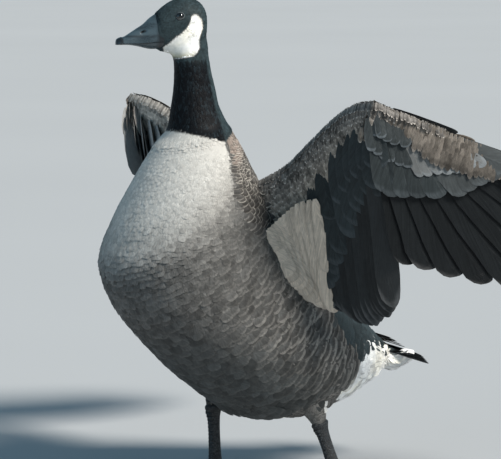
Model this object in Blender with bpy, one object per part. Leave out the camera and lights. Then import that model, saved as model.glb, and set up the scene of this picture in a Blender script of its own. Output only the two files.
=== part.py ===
"""Canada goose, life size, standing with its head up and both wings half raised.

The bird faces -Y, its left wing is towards +X, and it stands on z = 0. Sizes are in metres.
"""
import math
import random

import bmesh
import bpy
from mathutils import Matrix, Vector

# Gap between neighbouring nodes, which meet face to face
GAP = 0.0003
# Cutters are grown by a little more than the gap, since their facets cut corners
CUT_GROWTH = 0.00045

# Body: the back line, the belly line and the half width, from tail root to neck base
BODY_STATIONS = (
    ((0.208, 0.178), (0.198, 0.128), 0.036),
    ((0.184, 0.201), (0.156, 0.106), 0.058),
    ((0.152, 0.232), (0.103, 0.087), 0.080),
    ((0.118, 0.267), (0.036, 0.079), 0.101),
    ((0.085, 0.304), (-0.038, 0.097), 0.113),
    ((0.052, 0.343), (-0.105, 0.143), 0.119),
    ((0.022, 0.381), (-0.161, 0.195), 0.119),
    ((-0.001, 0.413), (-0.202, 0.245), 0.115),
    ((-0.016, 0.440), (-0.219, 0.297), 0.107),
    ((-0.026, 0.460), (-0.203, 0.345), 0.095),
    ((-0.033, 0.474), (-0.183, 0.388), 0.079),
    ((-0.038, 0.483), (-0.162, 0.430), 0.063),
    ((-0.043, 0.490), (-0.142, 0.461), 0.052),
    ((-0.0475, 0.497), (-0.128, 0.479), 0.042),
)
# Neck: the same three values, going on from the neck base to the throat
NECK_STATIONS = (
    BODY_STATIONS[-1],
    ((-0.0555, 0.515), (-0.1225, 0.505), 0.0335),
    ((-0.0605, 0.538), (-0.1190, 0.534), 0.0280),
    ((-0.0660, 0.562), (-0.1185, 0.559), 0.0250),
    ((-0.0690, 0.584), (-0.1215, 0.578), 0.0238),
)
# Share by which the body is wider low down than high up
BODY_PEAR = 0.08
BODY_SIDES = 24
BODY_STEPS = 2
NECK_SIDES = 24
NECK_STEPS = 2

# Head: turned to the bird's right on the neck, with the bill a little down
HEAD_BASE = Vector((0.0, -0.0955, 0.0))
HEAD_TURN = math.radians(18)
EYE_HEIGHT = 0.633
# Skull: distance forward, crown height, throat height, half width
SKULL_STATIONS = (
    (-0.0225, 0.6330, 0.6040, 0.0098),
    (-0.0190, 0.6420, 0.5930, 0.0168),
    (-0.0120, 0.6500, 0.5830, 0.0224),
    (-0.0020, 0.6548, 0.5770, 0.0250),
    (0.0090, 0.6562, 0.5752, 0.0254),
    (0.0190, 0.6545, 0.5762, 0.0240),
    (0.0290, 0.6500, 0.5785, 0.0214),
    (0.0380, 0.6435, 0.5812, 0.0183),
    (0.0450, 0.6372, 0.5838, 0.0156),
    (0.0490, 0.6330, 0.5858, 0.0140),
)
SKULL_SIDES = 28
EYE_FORWARD = 0.0195
EYE_RADIUS = 0.0070
EYE_DEPTH = 0.0056
# Way that the left eye looks: forward, to the side and up
EYE_WAY = (0.20, 0.94, 0.28)
LID_RADIUS = 0.0050
LID_THICKNESS = 0.0010
LID_SIDES = (16, 6)
SKULL_POLE = 0.0012
THROAT_START = 0.002
# Top of the throat inside the skull: rise above the neck's end, share of its width, step forward
THROAT_RINGS = ((0.012, 0.96, 0.0002), (0.024, 0.86, 0.0010), (0.036, 0.68, 0.0036),
                (0.044, 0.48, 0.0080))
MOUTH_HEIGHT = 0.5962
# Corner of the mouth: distance forward, depth to the side and half height of each end of its groove
GROOVE_ENDS = ((0.0415, 0.0168, 0.00015), (0.0500, 0.0140, 0.0006))
GROOVE_OUTSIDE = 0.022

# Bill: distance forward, culmen height, chin height, half width
BILL_STATIONS = (
    (0.0494, 0.6318, 0.5868, 0.0136),
    (0.0560, 0.6270, 0.5868, 0.0129),
    (0.0640, 0.6196, 0.5885, 0.0121),
    (0.0730, 0.6138, 0.5906, 0.0113),
    (0.0820, 0.6080, 0.5920, 0.0105),
    (0.0900, 0.6030, 0.5926, 0.0092),
    (0.0960, 0.5994, 0.5925, 0.0070),
    (0.1000, 0.5962, 0.5930, 0.0035),
)
BILL_SIDES = 14
LOWER_BILL_SHARE = 0.88
LOWER_BILL_END = 0.0970
MOUTH_DIP = 0.0012
NOSTRIL_FORWARD = 0.0662
NOSTRIL_SIDE = 0.0102
NOSTRIL_HEIGHT = 0.6098
NOSTRIL_SIZE = (0.0034, 0.0030, 0.0016)

# Tail: the core goes on from the body's last ring, and the feathers fan from it
TAIL_STATIONS = (
    BODY_STATIONS[0],
    ((0.222, 0.171), (0.216, 0.137), 0.0345),
    ((0.237, 0.164), (0.235, 0.146), 0.0320),
    ((0.250, 0.158), (0.249, 0.151), 0.0270),
)
TAIL_FEATHERS = 14
TAIL_ROOT = Vector((0.0, 0.210, 0.162))
TAIL_SLOPE = math.radians(-14)
TAIL_LENGTH = 0.078
TAIL_SPREAD = math.radians(21)
TAIL_ROOT_STEP = 0.0026
TAIL_LAYER = 0.00096
TAIL_VANE = (0.0125, 0.0006)

# Legs: ankle and foot joint of each, and the way its toes point
LEGS = {
    "left": {"hip": Vector((0.052, 0.046, 0.150)), "ankle": Vector((0.060, 0.072, 0.0790)),
             "foot": Vector((0.069, 0.092, 0.0130)), "toes": math.radians(8)},
    "right": {"hip": Vector((-0.052, -0.010, 0.160)), "ankle": Vector((-0.055, -0.025, 0.0960)),
              "foot": Vector((-0.055, -0.022, 0.0130)), "toes": math.radians(-8)},
}
ANKLE_RADIUS = 0.0098
TARSUS_RADIUS = 0.0066
TARSUS_DEPTH = 1.35
LEG_SIDES = 14
# Shank: share of the way from hip to ankle, and radius there
SHANK_RINGS = ((0.0, 0.0300), (0.35, 0.0264), (0.60, 0.0204), (0.80, 0.01475), (0.93, 0.0118))
SHANK_DEPTH = 1.15
SHANK_SIDES = 18
# Tarsus: share of the way from ankle to foot, and swelling there
TARSUS_RINGS = ((0.10, 1.32), (0.20, 1.08), (0.45, 0.95), (0.75, 1.0), (0.92, 1.10))
# Toes: splay to the outside, length, root radius
TOES = (
    (math.radians(-27), 0.066, 0.0056),
    (0.0, 0.084, 0.0060),
    (math.radians(27), 0.074, 0.0056),
)
# Rings of a toe: share of its length, swelling, height
TOE_RINGS = ((0.0, 1.1, 0.014), (0.16, 1.15, 0.012), (0.30, 0.85, 0.0090), (0.44, 0.98, 0.0092),
             (0.60, 0.74, 0.0070), (0.76, 0.82, 0.0070), (1.0, 0.48, 0.0046))
TOE_SIDES = 8
# Hind toe: height of its root, rings of distance behind the heel and radius, its tip
HIND_TOE_HEIGHT = 0.0125
HIND_TOE_RINGS = ((0.002, 0.0034), (0.012, 0.0030), (0.018, 0.0022))
HIND_TOE_TIP = (0.026, -0.0095)
CLAW_LENGTH = 0.009
WEB_BOTTOM = 0.0005
WEB_TOP = 0.0024

# Left wing: its front edge from shoulder to wrist, and the tips of its arm feathers
WING_FRONT = (
    Vector((0.045, -0.034, 0.404)),
    Vector((0.090, -0.004, 0.434)),
    Vector((0.130, 0.002, 0.463)),
    Vector((0.200, 0.002, 0.506)),
    Vector((0.250, -0.003, 0.524)),
    Vector((0.292, -0.004, 0.530)),
)
WING_TIPS = (
    Vector((0.128, 0.046, 0.262)),
    Vector((0.140, 0.056, 0.248)),
    Vector((0.155, 0.062, 0.240)),
    Vector((0.190, 0.069, 0.228)),
    Vector((0.216, 0.075, 0.238)),
    Vector((0.241, 0.073, 0.264)),
)
ARM_CHORD = (0.130, 0.112, 0.100, 0.084, 0.070, 0.054)
ARM_THICKNESS = (0.040, 0.036, 0.030, 0.024, 0.020, 0.017)
ARM_STEPS = 10
# Share by which a wing's fleshy part thins from its front to its back
WING_THINNING = 0.6
# Height of the coverts' roots, as a share of the thickness they root in
ARM_LIFT = 0.42
HAND_LIFT = 0.29
VANE_THICKNESS = 0.0008
HAND_LENGTH = 0.115
HAND_WIDTH = (0.040, 0.034, 0.026, 0.014)
HAND_THICKNESS = (0.0165, 0.014, 0.011, 0.006)
FIRST_PRIMARY = Vector((-0.19, 0.30, -0.93)).normalized()
LAST_PRIMARY = Vector((0.145, 0.92, -0.35)).normalized()

# The right wing mirrors the left one, a little lower and with its hand steeper
RIGHT_WING_DROP = math.radians(3)
RIGHT_WING_YAW = math.radians(5)
RIGHT_WING_PITCH = math.radians(-9)

COLOURS = {
    "black": (0.012, 0.013, 0.015),
    "white": (0.78, 0.76, 0.70),
    "breast": (0.36, 0.34, 0.31),
    "brown": (0.16, 0.14, 0.12),
    "slate": (0.07, 0.068, 0.066),
    "bill": (0.018, 0.018, 0.020),
    "leg": (0.045, 0.043, 0.042),
    "eye": (0.010, 0.006, 0.004),
}


def clear_scene():
    """Remove whatever the file held before."""
    for obj in list(bpy.data.objects):
        bpy.data.objects.remove(obj, do_unlink=True)


def material(name, colour, roughness, metallic=0.0):
    """A Principled material of one plain colour."""
    made = bpy.data.materials.new(name)
    made.use_nodes = True
    shader = made.node_tree.nodes["Principled BSDF"]
    shader.inputs["Base Color"].default_value = (*colour, 1.0)
    shader.inputs["Roughness"].default_value = roughness
    shader.inputs["Metallic"].default_value = metallic
    return made


def mesh_object(name, verts, faces, finish=None):
    """A closed mesh object with its faces pointing out."""
    mesh = bpy.data.meshes.new(name)
    mesh.from_pydata([tuple(v) for v in verts], [], faces)
    bm = bmesh.new()
    bm.from_mesh(mesh)
    bmesh.ops.recalc_face_normals(bm, faces=bm.faces)
    bm.to_mesh(mesh)
    bm.free()
    obj = bpy.data.objects.new(name, mesh)
    bpy.context.scene.collection.objects.link(obj)
    if finish:
        mesh.materials.append(finish)
    return obj


def spread(values, share):
    """Value at a share from 0 to 1 along a list of numbers or vectors, on a smooth curve."""
    last = len(values) - 1
    place = min(max(share, 0.0), 1.0) * last
    i = min(int(place), last - 1)
    f = place - i
    before = values[max(i - 1, 0)]
    start, end = values[i], values[i + 1]
    after = values[min(i + 2, last)]
    slope_in = (end - before) * 0.5
    slope_out = (after - start) * 0.5
    f2, f3 = f * f, f * f * f
    return (start * (2 * f3 - 3 * f2 + 1) + slope_in * (f3 - 2 * f2 + f)
            + end * (3 * f2 - 2 * f3) + slope_out * (f3 - f2))


def loft(name, rings, finish=None, start_point=None, end_point=None):
    """Skin rings of equal count, closed by flat caps or by a point at either end."""
    count = len(rings[0])
    verts = [point for ring in rings for point in ring]
    faces = []
    for r in range(len(rings) - 1):
        for k in range(count):
            a = r * count + k
            b = r * count + (k + 1) % count
            faces.append((a, b, b + count, a + count))
    last = (len(rings) - 1) * count
    for start, point in ((0, start_point), (last, end_point)):
        if point is None:
            faces.append(tuple(range(start, start + count)))
            continue
        verts.append(point)
        tip = len(verts) - 1
        for k in range(count):
            faces.append((start + k, start + (k + 1) % count, tip))
    return mesh_object(name, verts, faces, finish)


def trunk_ring(back, belly, half_width, sides, pear):
    """One oval of the trunk, between a back point and a belly point in the middle plane."""
    back = Vector((0.0, *back))
    belly = Vector((0.0, *belly))
    centre = (back + belly) * 0.5
    rise = (back - belly) * 0.5
    ring = []
    for k in range(sides):
        angle = math.tau * k / sides
        width = half_width * (1.0 - pear * math.cos(angle))
        ring.append(centre + rise * math.cos(angle) + Vector((width * math.sin(angle), 0.0, 0.0)))
    return ring


def trunk_rings(stations, steps, sides, pear):
    """Rings of the trunk, with smooth ones added between its stations."""
    flat = [Vector((*back, *belly)) for back, belly, _ in stations]
    widths = [width for _, _, width in stations]
    total = (len(stations) - 1) * steps
    rings = []
    for i in range(total + 1):
        line = spread(flat, i / total)
        width = spread(widths, i / total)
        rings.append(trunk_ring(line[0:2], line[2:4], width, sides, pear))
    return rings


def moved(ring, shift):
    """A copy of a ring, moved."""
    return [point + shift for point in ring]


def ring_normal(ring):
    """Unit normal of a ring of points."""
    centre = sum(ring, Vector()) / len(ring)
    quarter = len(ring) // 4
    return (ring[0] - centre).cross(ring[quarter] - centre).normalized()


def tube_ring(centre, direction, across, half_across, half_deep, sides):
    """An oval ring round a point, square to a direction."""
    deep = direction.cross(across).normalized()
    wide = deep.cross(direction).normalized()
    return [centre + wide * (half_across * math.cos(math.tau * k / sides))
            + deep * (half_deep * math.sin(math.tau * k / sides)) for k in range(sides)]


def ellipsoid(name, centre, axes, sizes, rings=8, sides=14, finish=None):
    """A ball stretched along three unit axes."""
    along, side, up = axes
    loops = []
    for r in range(1, rings):
        angle = math.pi * r / rings
        middle = centre + up * (sizes[2] * math.cos(angle))
        reach = math.sin(angle)
        loops.append([middle + along * (sizes[0] * reach * math.cos(math.tau * k / sides))
                      + side * (sizes[1] * reach * math.sin(math.tau * k / sides))
                      for k in range(sides)])
    return loft(name, loops, finish, centre + up * sizes[2], centre - up * sizes[2])


def set_mesh(obj, mesh):
    """Give an object a new mesh that keeps the object's own material."""
    finish = obj.data.materials[0] if obj.data.materials else None
    mesh.materials.clear()
    if finish:
        mesh.materials.append(finish)
    mesh.polygons.foreach_set("material_index", [0] * len(mesh.polygons))
    obj.data = mesh


def apply_modifiers(obj):
    """Replace an object's mesh by what its modifiers make of it."""
    graph = bpy.context.evaluated_depsgraph_get()
    mesh = bpy.data.meshes.new_from_object(obj.evaluated_get(graph))
    obj.modifiers.clear()
    set_mesh(obj, mesh)


def keep_largest(obj):
    """Keep only the largest closed surface of a node."""
    bm = bmesh.new()
    bm.from_mesh(obj.data)
    left = set(bm.faces)
    shells = []
    while left:
        stack = [left.pop()]
        shell = []
        while stack:
            face = stack.pop()
            shell.append(face)
            for edge in face.edges:
                for other in edge.link_faces:
                    if other in left:
                        left.discard(other)
                        stack.append(other)
        shells.append(shell)
    shells.sort(key=lambda shell: sum(face.calc_area() for face in shell), reverse=True)
    for shell in shells[1:]:
        bmesh.ops.delete(bm, geom=shell, context="FACES")
    bmesh.ops.triangulate(bm, faces=bm.faces)
    bm.to_mesh(obj.data)
    bm.free()


def unite(obj, pieces, solver="EXACT"):
    """Fuse closed pieces into a node by one Boolean union on their collection."""
    group = bpy.data.collections.new(obj.name + "_pieces")
    bpy.context.scene.collection.children.link(group)
    for piece in pieces:
        bpy.context.scene.collection.objects.unlink(piece)
        group.objects.link(piece)
    union = obj.modifiers.new("union", "BOOLEAN")
    union.operation = "UNION"
    union.operand_type = "COLLECTION"
    union.collection = group
    union.solver = solver
    apply_modifiers(obj)
    for piece in pieces:
        bpy.data.objects.remove(piece, do_unlink=True)
    bpy.data.collections.remove(group)
    keep_largest(obj)


def cut(obj, cutter, solver="EXACT"):
    """Cut a node by a closed shape, which is then removed."""
    trim = obj.modifiers.new("cut", "BOOLEAN")
    trim.operation = "DIFFERENCE"
    trim.object = cutter
    trim.solver = solver
    apply_modifiers(obj)
    bpy.data.objects.remove(cutter, do_unlink=True)
    keep_largest(obj)


def grown_copy(obj, growth):
    """A copy of a node with each point pushed out along its normal."""
    mesh = obj.data.copy()
    normals = [vertex.normal.copy() for vertex in mesh.vertices]
    for vertex, normal in zip(mesh.vertices, normals):
        vertex.co += normal * growth
    copy = bpy.data.objects.new(obj.name + "_cutter", mesh)
    bpy.context.scene.collection.objects.link(copy)
    copy.display_type = "WIRE"
    copy.hide_render = True
    return copy


# Feather outlines: place along the length, share of the full width, share of the thickness
FLIGHT_OUTLINE = ((0.0, 0.42, 1.0), (0.22, 0.80, 1.0), (0.52, 1.0, 0.9), (0.82, 0.94, 0.8),
                  (0.94, 0.66, 0.7), (1.0, 0.20, 0.6))
COVERT_OUTLINE = ((0.0, 0.50, 1.0), (0.45, 0.96, 1.0), (0.82, 0.92, 0.8), (1.0, 0.35, 0.6))
TAIL_OUTLINE = ((0.0, 0.70, 1.0), (0.5, 1.0, 1.0), (0.88, 0.86, 0.9), (1.0, 0.30, 0.8))


def vane(root, direction, normal, length, lead, trail, thick, bend, outline):
    """One feather: a thin closed vane, bent away from its normal towards the tip."""
    side = direction.cross(normal).normalized()
    lift = normal.normalized() * (thick * 0.5)
    verts = []
    for place, width, share in outline:
        centre = root + direction * (length * place) - normal * (bend * length * place * place)
        front = centre + side * (lead * width)
        rear = centre - side * (trail * width)
        verts += [front + lift * share, rear + lift * share, rear - lift * share,
                  front - lift * share]
    faces = [(0, 1, 2, 3)]
    for i in range(len(outline) - 1):
        a = i * 4
        b = a + 4
        faces += [(a, a + 1, b + 1), (a, b + 1, b)]
        faces += [(a + 3, b + 2, a + 2), (a + 3, b + 3, b + 2)]
        faces += [(a + 1, a + 2, b + 2, b + 1), (a + 3, a, b, b + 3)]
    end = (len(outline) - 1) * 4
    faces.append((end, end + 1, end + 2, end + 3))
    return mesh_object("vane", verts, faces)


def make_torso(finish):
    """The trunk, from the tail root to the neck base."""
    rings = trunk_rings(BODY_STATIONS, BODY_STEPS, BODY_SIDES, BODY_PEAR)
    return loft("torso", rings, finish)


def make_neck(finish):
    """The neck, up to where the head's node takes over."""
    rings = trunk_rings(NECK_STATIONS, NECK_STEPS, NECK_SIDES, 0.0)
    rings[0] = moved(rings[0], ring_normal(rings[0]) * -GAP)
    return loft("neck", rings, finish)


def head_point(forward, side, height):
    """A point of the head's own frame, in the bird's frame. Side is to the bird's left."""
    ahead = Vector((-math.sin(HEAD_TURN), -math.cos(HEAD_TURN), 0.0))
    left = Vector((math.cos(HEAD_TURN), -math.sin(HEAD_TURN), 0.0))
    return HEAD_BASE + ahead * forward + left * side + Vector((0.0, 0.0, height))


def head_axes():
    """Forward, left and up of the head."""
    base = head_point(0, 0, 0)
    return head_point(1, 0, 0) - base, head_point(0, 1, 0) - base, Vector((0.0, 0.0, 1.0))


def head_ring(forward, top, bottom, half_width, sides, power=1.0):
    """An oval section of the head or bill, square to the head's forward line."""
    middle = (top + bottom) * 0.5
    half = (top - bottom) * 0.5
    ring = []
    for k in range(sides):
        angle = math.tau * k / sides
        c, s = math.cos(angle), math.sin(angle)
        width = half_width * math.copysign(abs(s) ** power, s)
        ring.append(head_point(forward, width, middle + half * c))
    return ring


def eye_place(sign):
    """Where an eye breaks the head's surface, and the way it looks."""
    fore = next(i for i, station in enumerate(SKULL_STATIONS) if station[0] >= EYE_FORWARD)
    before, after = SKULL_STATIONS[fore - 1], SKULL_STATIONS[fore]
    share = (EYE_FORWARD - before[0]) / (after[0] - before[0])
    _, top, bottom, half_width = (a + (b - a) * share for a, b in zip(before, after))
    rise = (2.0 * EYE_HEIGHT - top - bottom) / (top - bottom)
    spot = head_point(EYE_FORWARD, sign * half_width * math.sqrt(1.0 - rise * rise), EYE_HEIGHT)
    ahead, left, up = head_axes()
    way = ahead * EYE_WAY[0] + left * (sign * EYE_WAY[1]) + up * EYE_WAY[2]
    return spot, way.normalized()


def throat_piece(ring, up):
    """The top of the neck, drawn in to sink into the skull while its nape stays straight."""
    nape = ring[0]
    ahead = head_axes()[0]
    rings = [moved(ring, up * (-THROAT_START))]
    for rise, share, step in THROAT_RINGS:
        rings.append([nape + (point - nape) * share + up * rise + ahead * step for point in ring])
    return loft("throat", rings)


def make_head(finish):
    """The head: skull, throat, lids, and the line of the mouth, with sockets cut for the eyes."""
    rings = [head_ring(*station, SKULL_SIDES) for station in SKULL_STATIONS]
    back = SKULL_STATIONS[0]
    pole = head_point(back[0] - SKULL_POLE, 0.0, (back[1] + back[2]) * 0.5)
    head = loft("head", rings, finish, start_point=pole)
    ring = trunk_rings(NECK_STATIONS, NECK_STEPS, NECK_SIDES, 0.0)[-1]
    up = ring_normal(ring)
    if up.z < 0:
        up = -up
    eyes = [eye_place(sign) for sign in (1.0, -1.0)]
    unite(head, [throat_piece(ring, up)] + [lid_ring(*eye) for eye in eyes])
    wide = moved(scaled(ring, 3.0), up * GAP)
    cut(head, loft("below", [wide, moved(wide, up * -0.060)]))
    for sign, (spot, way) in zip((1.0, -1.0), eyes):
        cut(head, ellipsoid("socket", spot - way * EYE_DEPTH, head_axes(),
                            [EYE_RADIUS + GAP * 1.5] * 3))
        cut(head, mouth_groove(sign))
    return head


def scaled(ring, share):
    """A ring grown about its centre."""
    centre = sum(ring, Vector()) / len(ring)
    return [centre + (point - centre) * share for point in ring]


def lid_ring(centre, outward):
    """A rim of skin round an eye, a little longer than high."""
    up = outward.cross(head_axes()[0]).normalized()
    along = up.cross(outward).normalized()
    turns, sides = LID_SIDES
    verts = []
    for k in range(turns):
        angle = math.tau * k / turns
        out = along * math.cos(angle) + up * math.sin(angle)
        spot = centre + along * (LID_RADIUS * 1.06 * math.cos(angle))
        spot += up * (LID_RADIUS * 0.90 * math.sin(angle))
        for j in range(sides):
            turn = math.tau * j / sides
            verts.append(spot + out * (LID_THICKNESS * math.cos(turn))
                         + outward * (LID_THICKNESS * 1.5 * math.sin(turn)))
    faces = []
    for k in range(turns):
        here, there = k * sides, (k + 1) % turns * sides
        for j in range(sides):
            ahead = (j + 1) % sides
            faces.append((here + j, here + ahead, there + ahead, there + j))
    return mesh_object("lid", verts, faces)


def mouth_groove(sign):
    """A thin wedge that cuts the corner of the mouth into one side of the head."""
    verts = []
    for forward, inside, half in GROOVE_ENDS:
        for side, height in ((inside, 0.0), (GROOVE_OUTSIDE, half), (GROOVE_OUTSIDE, -half)):
            verts.append(head_point(forward, sign * side, MOUTH_HEIGHT + height))
    faces = [(0, 1, 2), (3, 4, 5), (0, 1, 4, 3), (1, 2, 5, 4), (2, 0, 3, 5)]
    return mesh_object("groove", verts, faces)


def make_eye(side, sign, finish):
    """One eyeball, set in its socket."""
    spot, way = eye_place(sign)
    centre = spot - way * EYE_DEPTH
    return ellipsoid("eye_" + side, centre, head_axes(), [EYE_RADIUS] * 3, 8, 14, finish)


def bill_ring(forward, height, edge, half_width):
    """A half oval section of the upper or lower bill, flat along the mouth."""
    ring = []
    for k in range(BILL_SIDES + 1):
        angle = math.pi * k / BILL_SIDES
        rise = (height - edge) * math.sin(angle) ** 0.85
        width = half_width * math.cos(angle)
        ring.append(head_point(forward, width, edge + rise))
    return ring


def make_bill(upper, finish):
    """The upper or the lower bill, which meet along the mouth."""
    rings = []
    root, tip = BILL_STATIONS[0][0], BILL_STATIONS[-1][0]
    for forward, culmen, chin, half_width in BILL_STATIONS:
        share = (forward - root) / (tip - root)
        mouth = MOUTH_HEIGHT - MOUTH_DIP * (math.sin(math.pi * share) + share)
        if upper:
            rings.append(bill_ring(forward, culmen, mouth + GAP * 0.5, half_width))
        elif forward < LOWER_BILL_END:
            rings.append(bill_ring(forward, chin, mouth - GAP * 0.5, half_width * LOWER_BILL_SHARE))
    bill = loft("bill_upper" if upper else "bill_lower", rings, finish)
    if upper:
        for sign in (1.0, -1.0):
            spot = head_point(NOSTRIL_FORWARD, sign * NOSTRIL_SIDE, NOSTRIL_HEIGHT)
            cut(bill, ellipsoid("nostril", spot, head_axes(), NOSTRIL_SIZE, 6, 10))
    return bill


def make_shank(side, leg, finish):
    """The feathered lower thigh, which narrows to the ankle."""
    hip, ankle = leg["hip"], leg["ankle"]
    line = ankle - hip
    across = Vector((1.0, 0.0, 0.0))
    rings = []
    for share, radius in SHANK_RINGS:
        rings.append(tube_ring(hip + line * share, line.normalized(), across,
                               radius, radius * SHANK_DEPTH, SHANK_SIDES))
    return loft("shank_" + side, rings, finish)


def leg_ring(centre, direction, radius, swell):
    """A ring of the bare leg, deeper from front to back than it is wide."""
    return tube_ring(centre, direction, Vector((1.0, 0.0, 0.0)), radius * swell,
                     radius * swell * TARSUS_DEPTH, LEG_SIDES)


def make_tarsus(side, leg, finish):
    """The bare leg, from the knobbed ankle to the foot."""
    ankle, foot = leg["ankle"], leg["foot"]
    hip_line = ankle - leg["hip"]
    start = leg["hip"] + hip_line * SHANK_RINGS[-1][0] + hip_line.normalized() * GAP
    down = (foot - ankle).normalized()
    length = (foot - ankle).length
    rings = [tube_ring(start, hip_line.normalized(), Vector((1.0, 0.0, 0.0)),
                       ANKLE_RADIUS * 0.95, ANKLE_RADIUS * 1.15, LEG_SIDES),
             leg_ring(ankle, (down + hip_line.normalized()).normalized(), ANKLE_RADIUS, 0.98)]
    for share, swell in TARSUS_RINGS:
        rings.append(leg_ring(ankle + down * (length * share), down, TARSUS_RADIUS, swell))
    return loft("tarsus_" + side, rings, finish)


def toe_ring(centre, direction, radius, height):
    """A ring of a toe, flat where it rests on the ground."""
    across = direction.cross(Vector((0.0, 0.0, 1.0))).normalized()
    ring = []
    for k in range(TOE_SIDES):
        angle = math.tau * (k + 0.5) / TOE_SIDES
        point = centre + across * (radius * math.cos(angle))
        point.z = max(0.0, height * 0.5 + height * 0.62 * math.sin(angle))
        ring.append(point)
    return ring


def make_foot(side, sign, leg, finish):
    """The webbed foot: three toes with claws, the web, the small hind toe and the leg's end."""
    joint = leg["foot"]
    down = (joint - leg["ankle"]).normalized()
    length = (joint - leg["ankle"]).length
    share, swell = TARSUS_RINGS[-1]
    top = leg_ring(leg["ankle"] + down * (length * share + GAP), down, TARSUS_RADIUS, swell)
    low = leg_ring(joint, down, TARSUS_RADIUS, 1.30)
    sole = [Vector((point.x, point.y + 0.001, 0.0004)) for point in scaled(low, 0.9)]
    foot = loft("foot_" + side, [top, low, sole], finish)
    heel = Vector((joint.x, joint.y + 0.002, 0.0))
    pieces = []
    tips = []
    for splay, reach, radius in TOES:
        turn = leg["toes"] + sign * splay
        ahead = Vector((math.sin(turn), -math.cos(turn), 0.0))
        rings = []
        for share, swell, height in TOE_RINGS:
            rings.append(toe_ring(heel + ahead * (reach * share), ahead, radius * swell, height))
        tip = heel + ahead * (reach + CLAW_LENGTH) + Vector((0.0, 0.0, 0.0006))
        pieces.append(loft("toe", rings, None, None, tip))
        tips.append(heel + ahead * (reach * 0.93))
    pieces.append(web(heel, tips))
    back = Vector((-math.sin(leg["toes"]), math.cos(leg["toes"]), 0.0))
    root = heel + Vector((0.0, 0.0, HIND_TOE_HEIGHT))
    upward = Vector((0.0, 0.0, 1.0))
    rings = [tube_ring(root + back * reach - upward * (reach * 0.25), back, upward, radius,
                       radius, 6)
             for reach, radius in HIND_TOE_RINGS]
    tip = root + back * HIND_TOE_TIP[0] + upward * HIND_TOE_TIP[1]
    pieces.append(loft("hind_toe", rings, None, None, tip))
    unite(foot, pieces)
    return foot


def web(heel, tips):
    """The web between the toes, its front edge drawn in between the tips."""
    edge = [heel + (tips[0] - heel) * 0.20, tips[0]]
    for first, second in zip(tips[:-1], tips[1:]):
        middle = (first + second) * 0.5
        edge.append(middle + (heel - middle) * 0.16)
        edge.append(second)
    edge.append(heel + (tips[-1] - heel) * 0.20)
    count = len(edge)
    verts = [point + Vector((0.0, 0.0, WEB_BOTTOM)) for point in edge]
    verts += [point + Vector((0.0, 0.0, WEB_TOP)) for point in edge]
    faces = [tuple(range(count)), tuple(range(count, 2 * count))]
    faces += [(k, (k + 1) % count, count + (k + 1) % count, count + k) for k in range(count)]
    return mesh_object("web", verts, faces)


def hand_normal():
    """Upper normal of the left hand, square to its first and last primary."""
    return LAST_PRIMARY.cross(FIRST_PRIMARY).normalized()


def arm_frame(share):
    """Front edge, chord direction, upper normal and outward side at a place along the arm."""
    front = spread(WING_FRONT, share)
    chord = (spread(WING_TIPS, share) - front).normalized()
    steady = max(share, 0.40)
    along = spread(WING_FRONT, steady + 0.05) - spread(WING_FRONT, steady - 0.05)
    normal = along.cross(chord).normalized().lerp(hand_normal(), 0.5 * share ** 2)
    normal = (normal - chord * normal.dot(chord)).normalized()
    return front, chord, normal, chord.cross(normal)


def airfoil_ring(front, chord, normal, length, thick, sides=12):
    """A section of a wing's fleshy part: round in front and thin behind."""
    ring = []
    for k in range(sides):
        angle = math.tau * k / sides
        back = (1.0 - math.cos(angle)) * 0.5
        rise = thick * 0.5 * math.sin(angle) * (1.0 - WING_THINNING * back)
        ring.append(front + chord * (length * back) + normal * rise)
    return ring


def arm_vane(share, place, way, length, widths, tilt, outline, rng, tip_lift=0.0):
    """A feather of the arm, rooted at a share of the chord, above or below its middle plane."""
    front, chord, normal, _ = arm_frame(share)
    depth = spread(ARM_CHORD, share)
    lift = way * ARM_LIFT * spread(ARM_THICKNESS, share) * (1.0 - WING_THINNING * place)
    root = front + chord * (depth * place) + normal * lift
    tip = spread(WING_TIPS, share) + normal * (way * tip_lift)
    direction = (tip - root).normalized()
    reach = (tip - root).length if length is None else length
    reach *= rng.uniform(0.975, 1.025)
    if length is not None:
        end = front + chord * (depth * place + length) + normal * (way * tip_lift)
        direction = (end - root).normalized()
    upright = (normal - direction * normal.dot(direction)).normalized()
    upright = Matrix.Rotation(-tilt, 3, direction) @ upright
    lead, trail = widths
    return vane(root, direction, upright, reach, lead, trail, VANE_THICKNESS, 0.0, outline)


# Arm feathers: count, first and last place along the arm
SECONDARIES = (12, 0.27, 0.955)
GREATER_COVERTS = (10, 0.31, 0.94)
SECONDARY_TILT = math.radians(10)
COVERT_TILT = math.radians(7)
# Where they root across the wing, and how far each reaches to its front and rear side
SECONDARY_ROOT = 0.62
SECONDARY_WIDTHS = (0.012, 0.020)
COVERT_ROOT = 0.60
COVERT_WIDTHS = (0.012, 0.018)
COVERT_LENGTH = 0.100
COVERT_LIFT = 0.0086


def along_row(row):
    """Places of a row of feathers along the arm."""
    count, first, last = row
    return [first + (last - first) * i / (count - 1) for i in range(count)]


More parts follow.
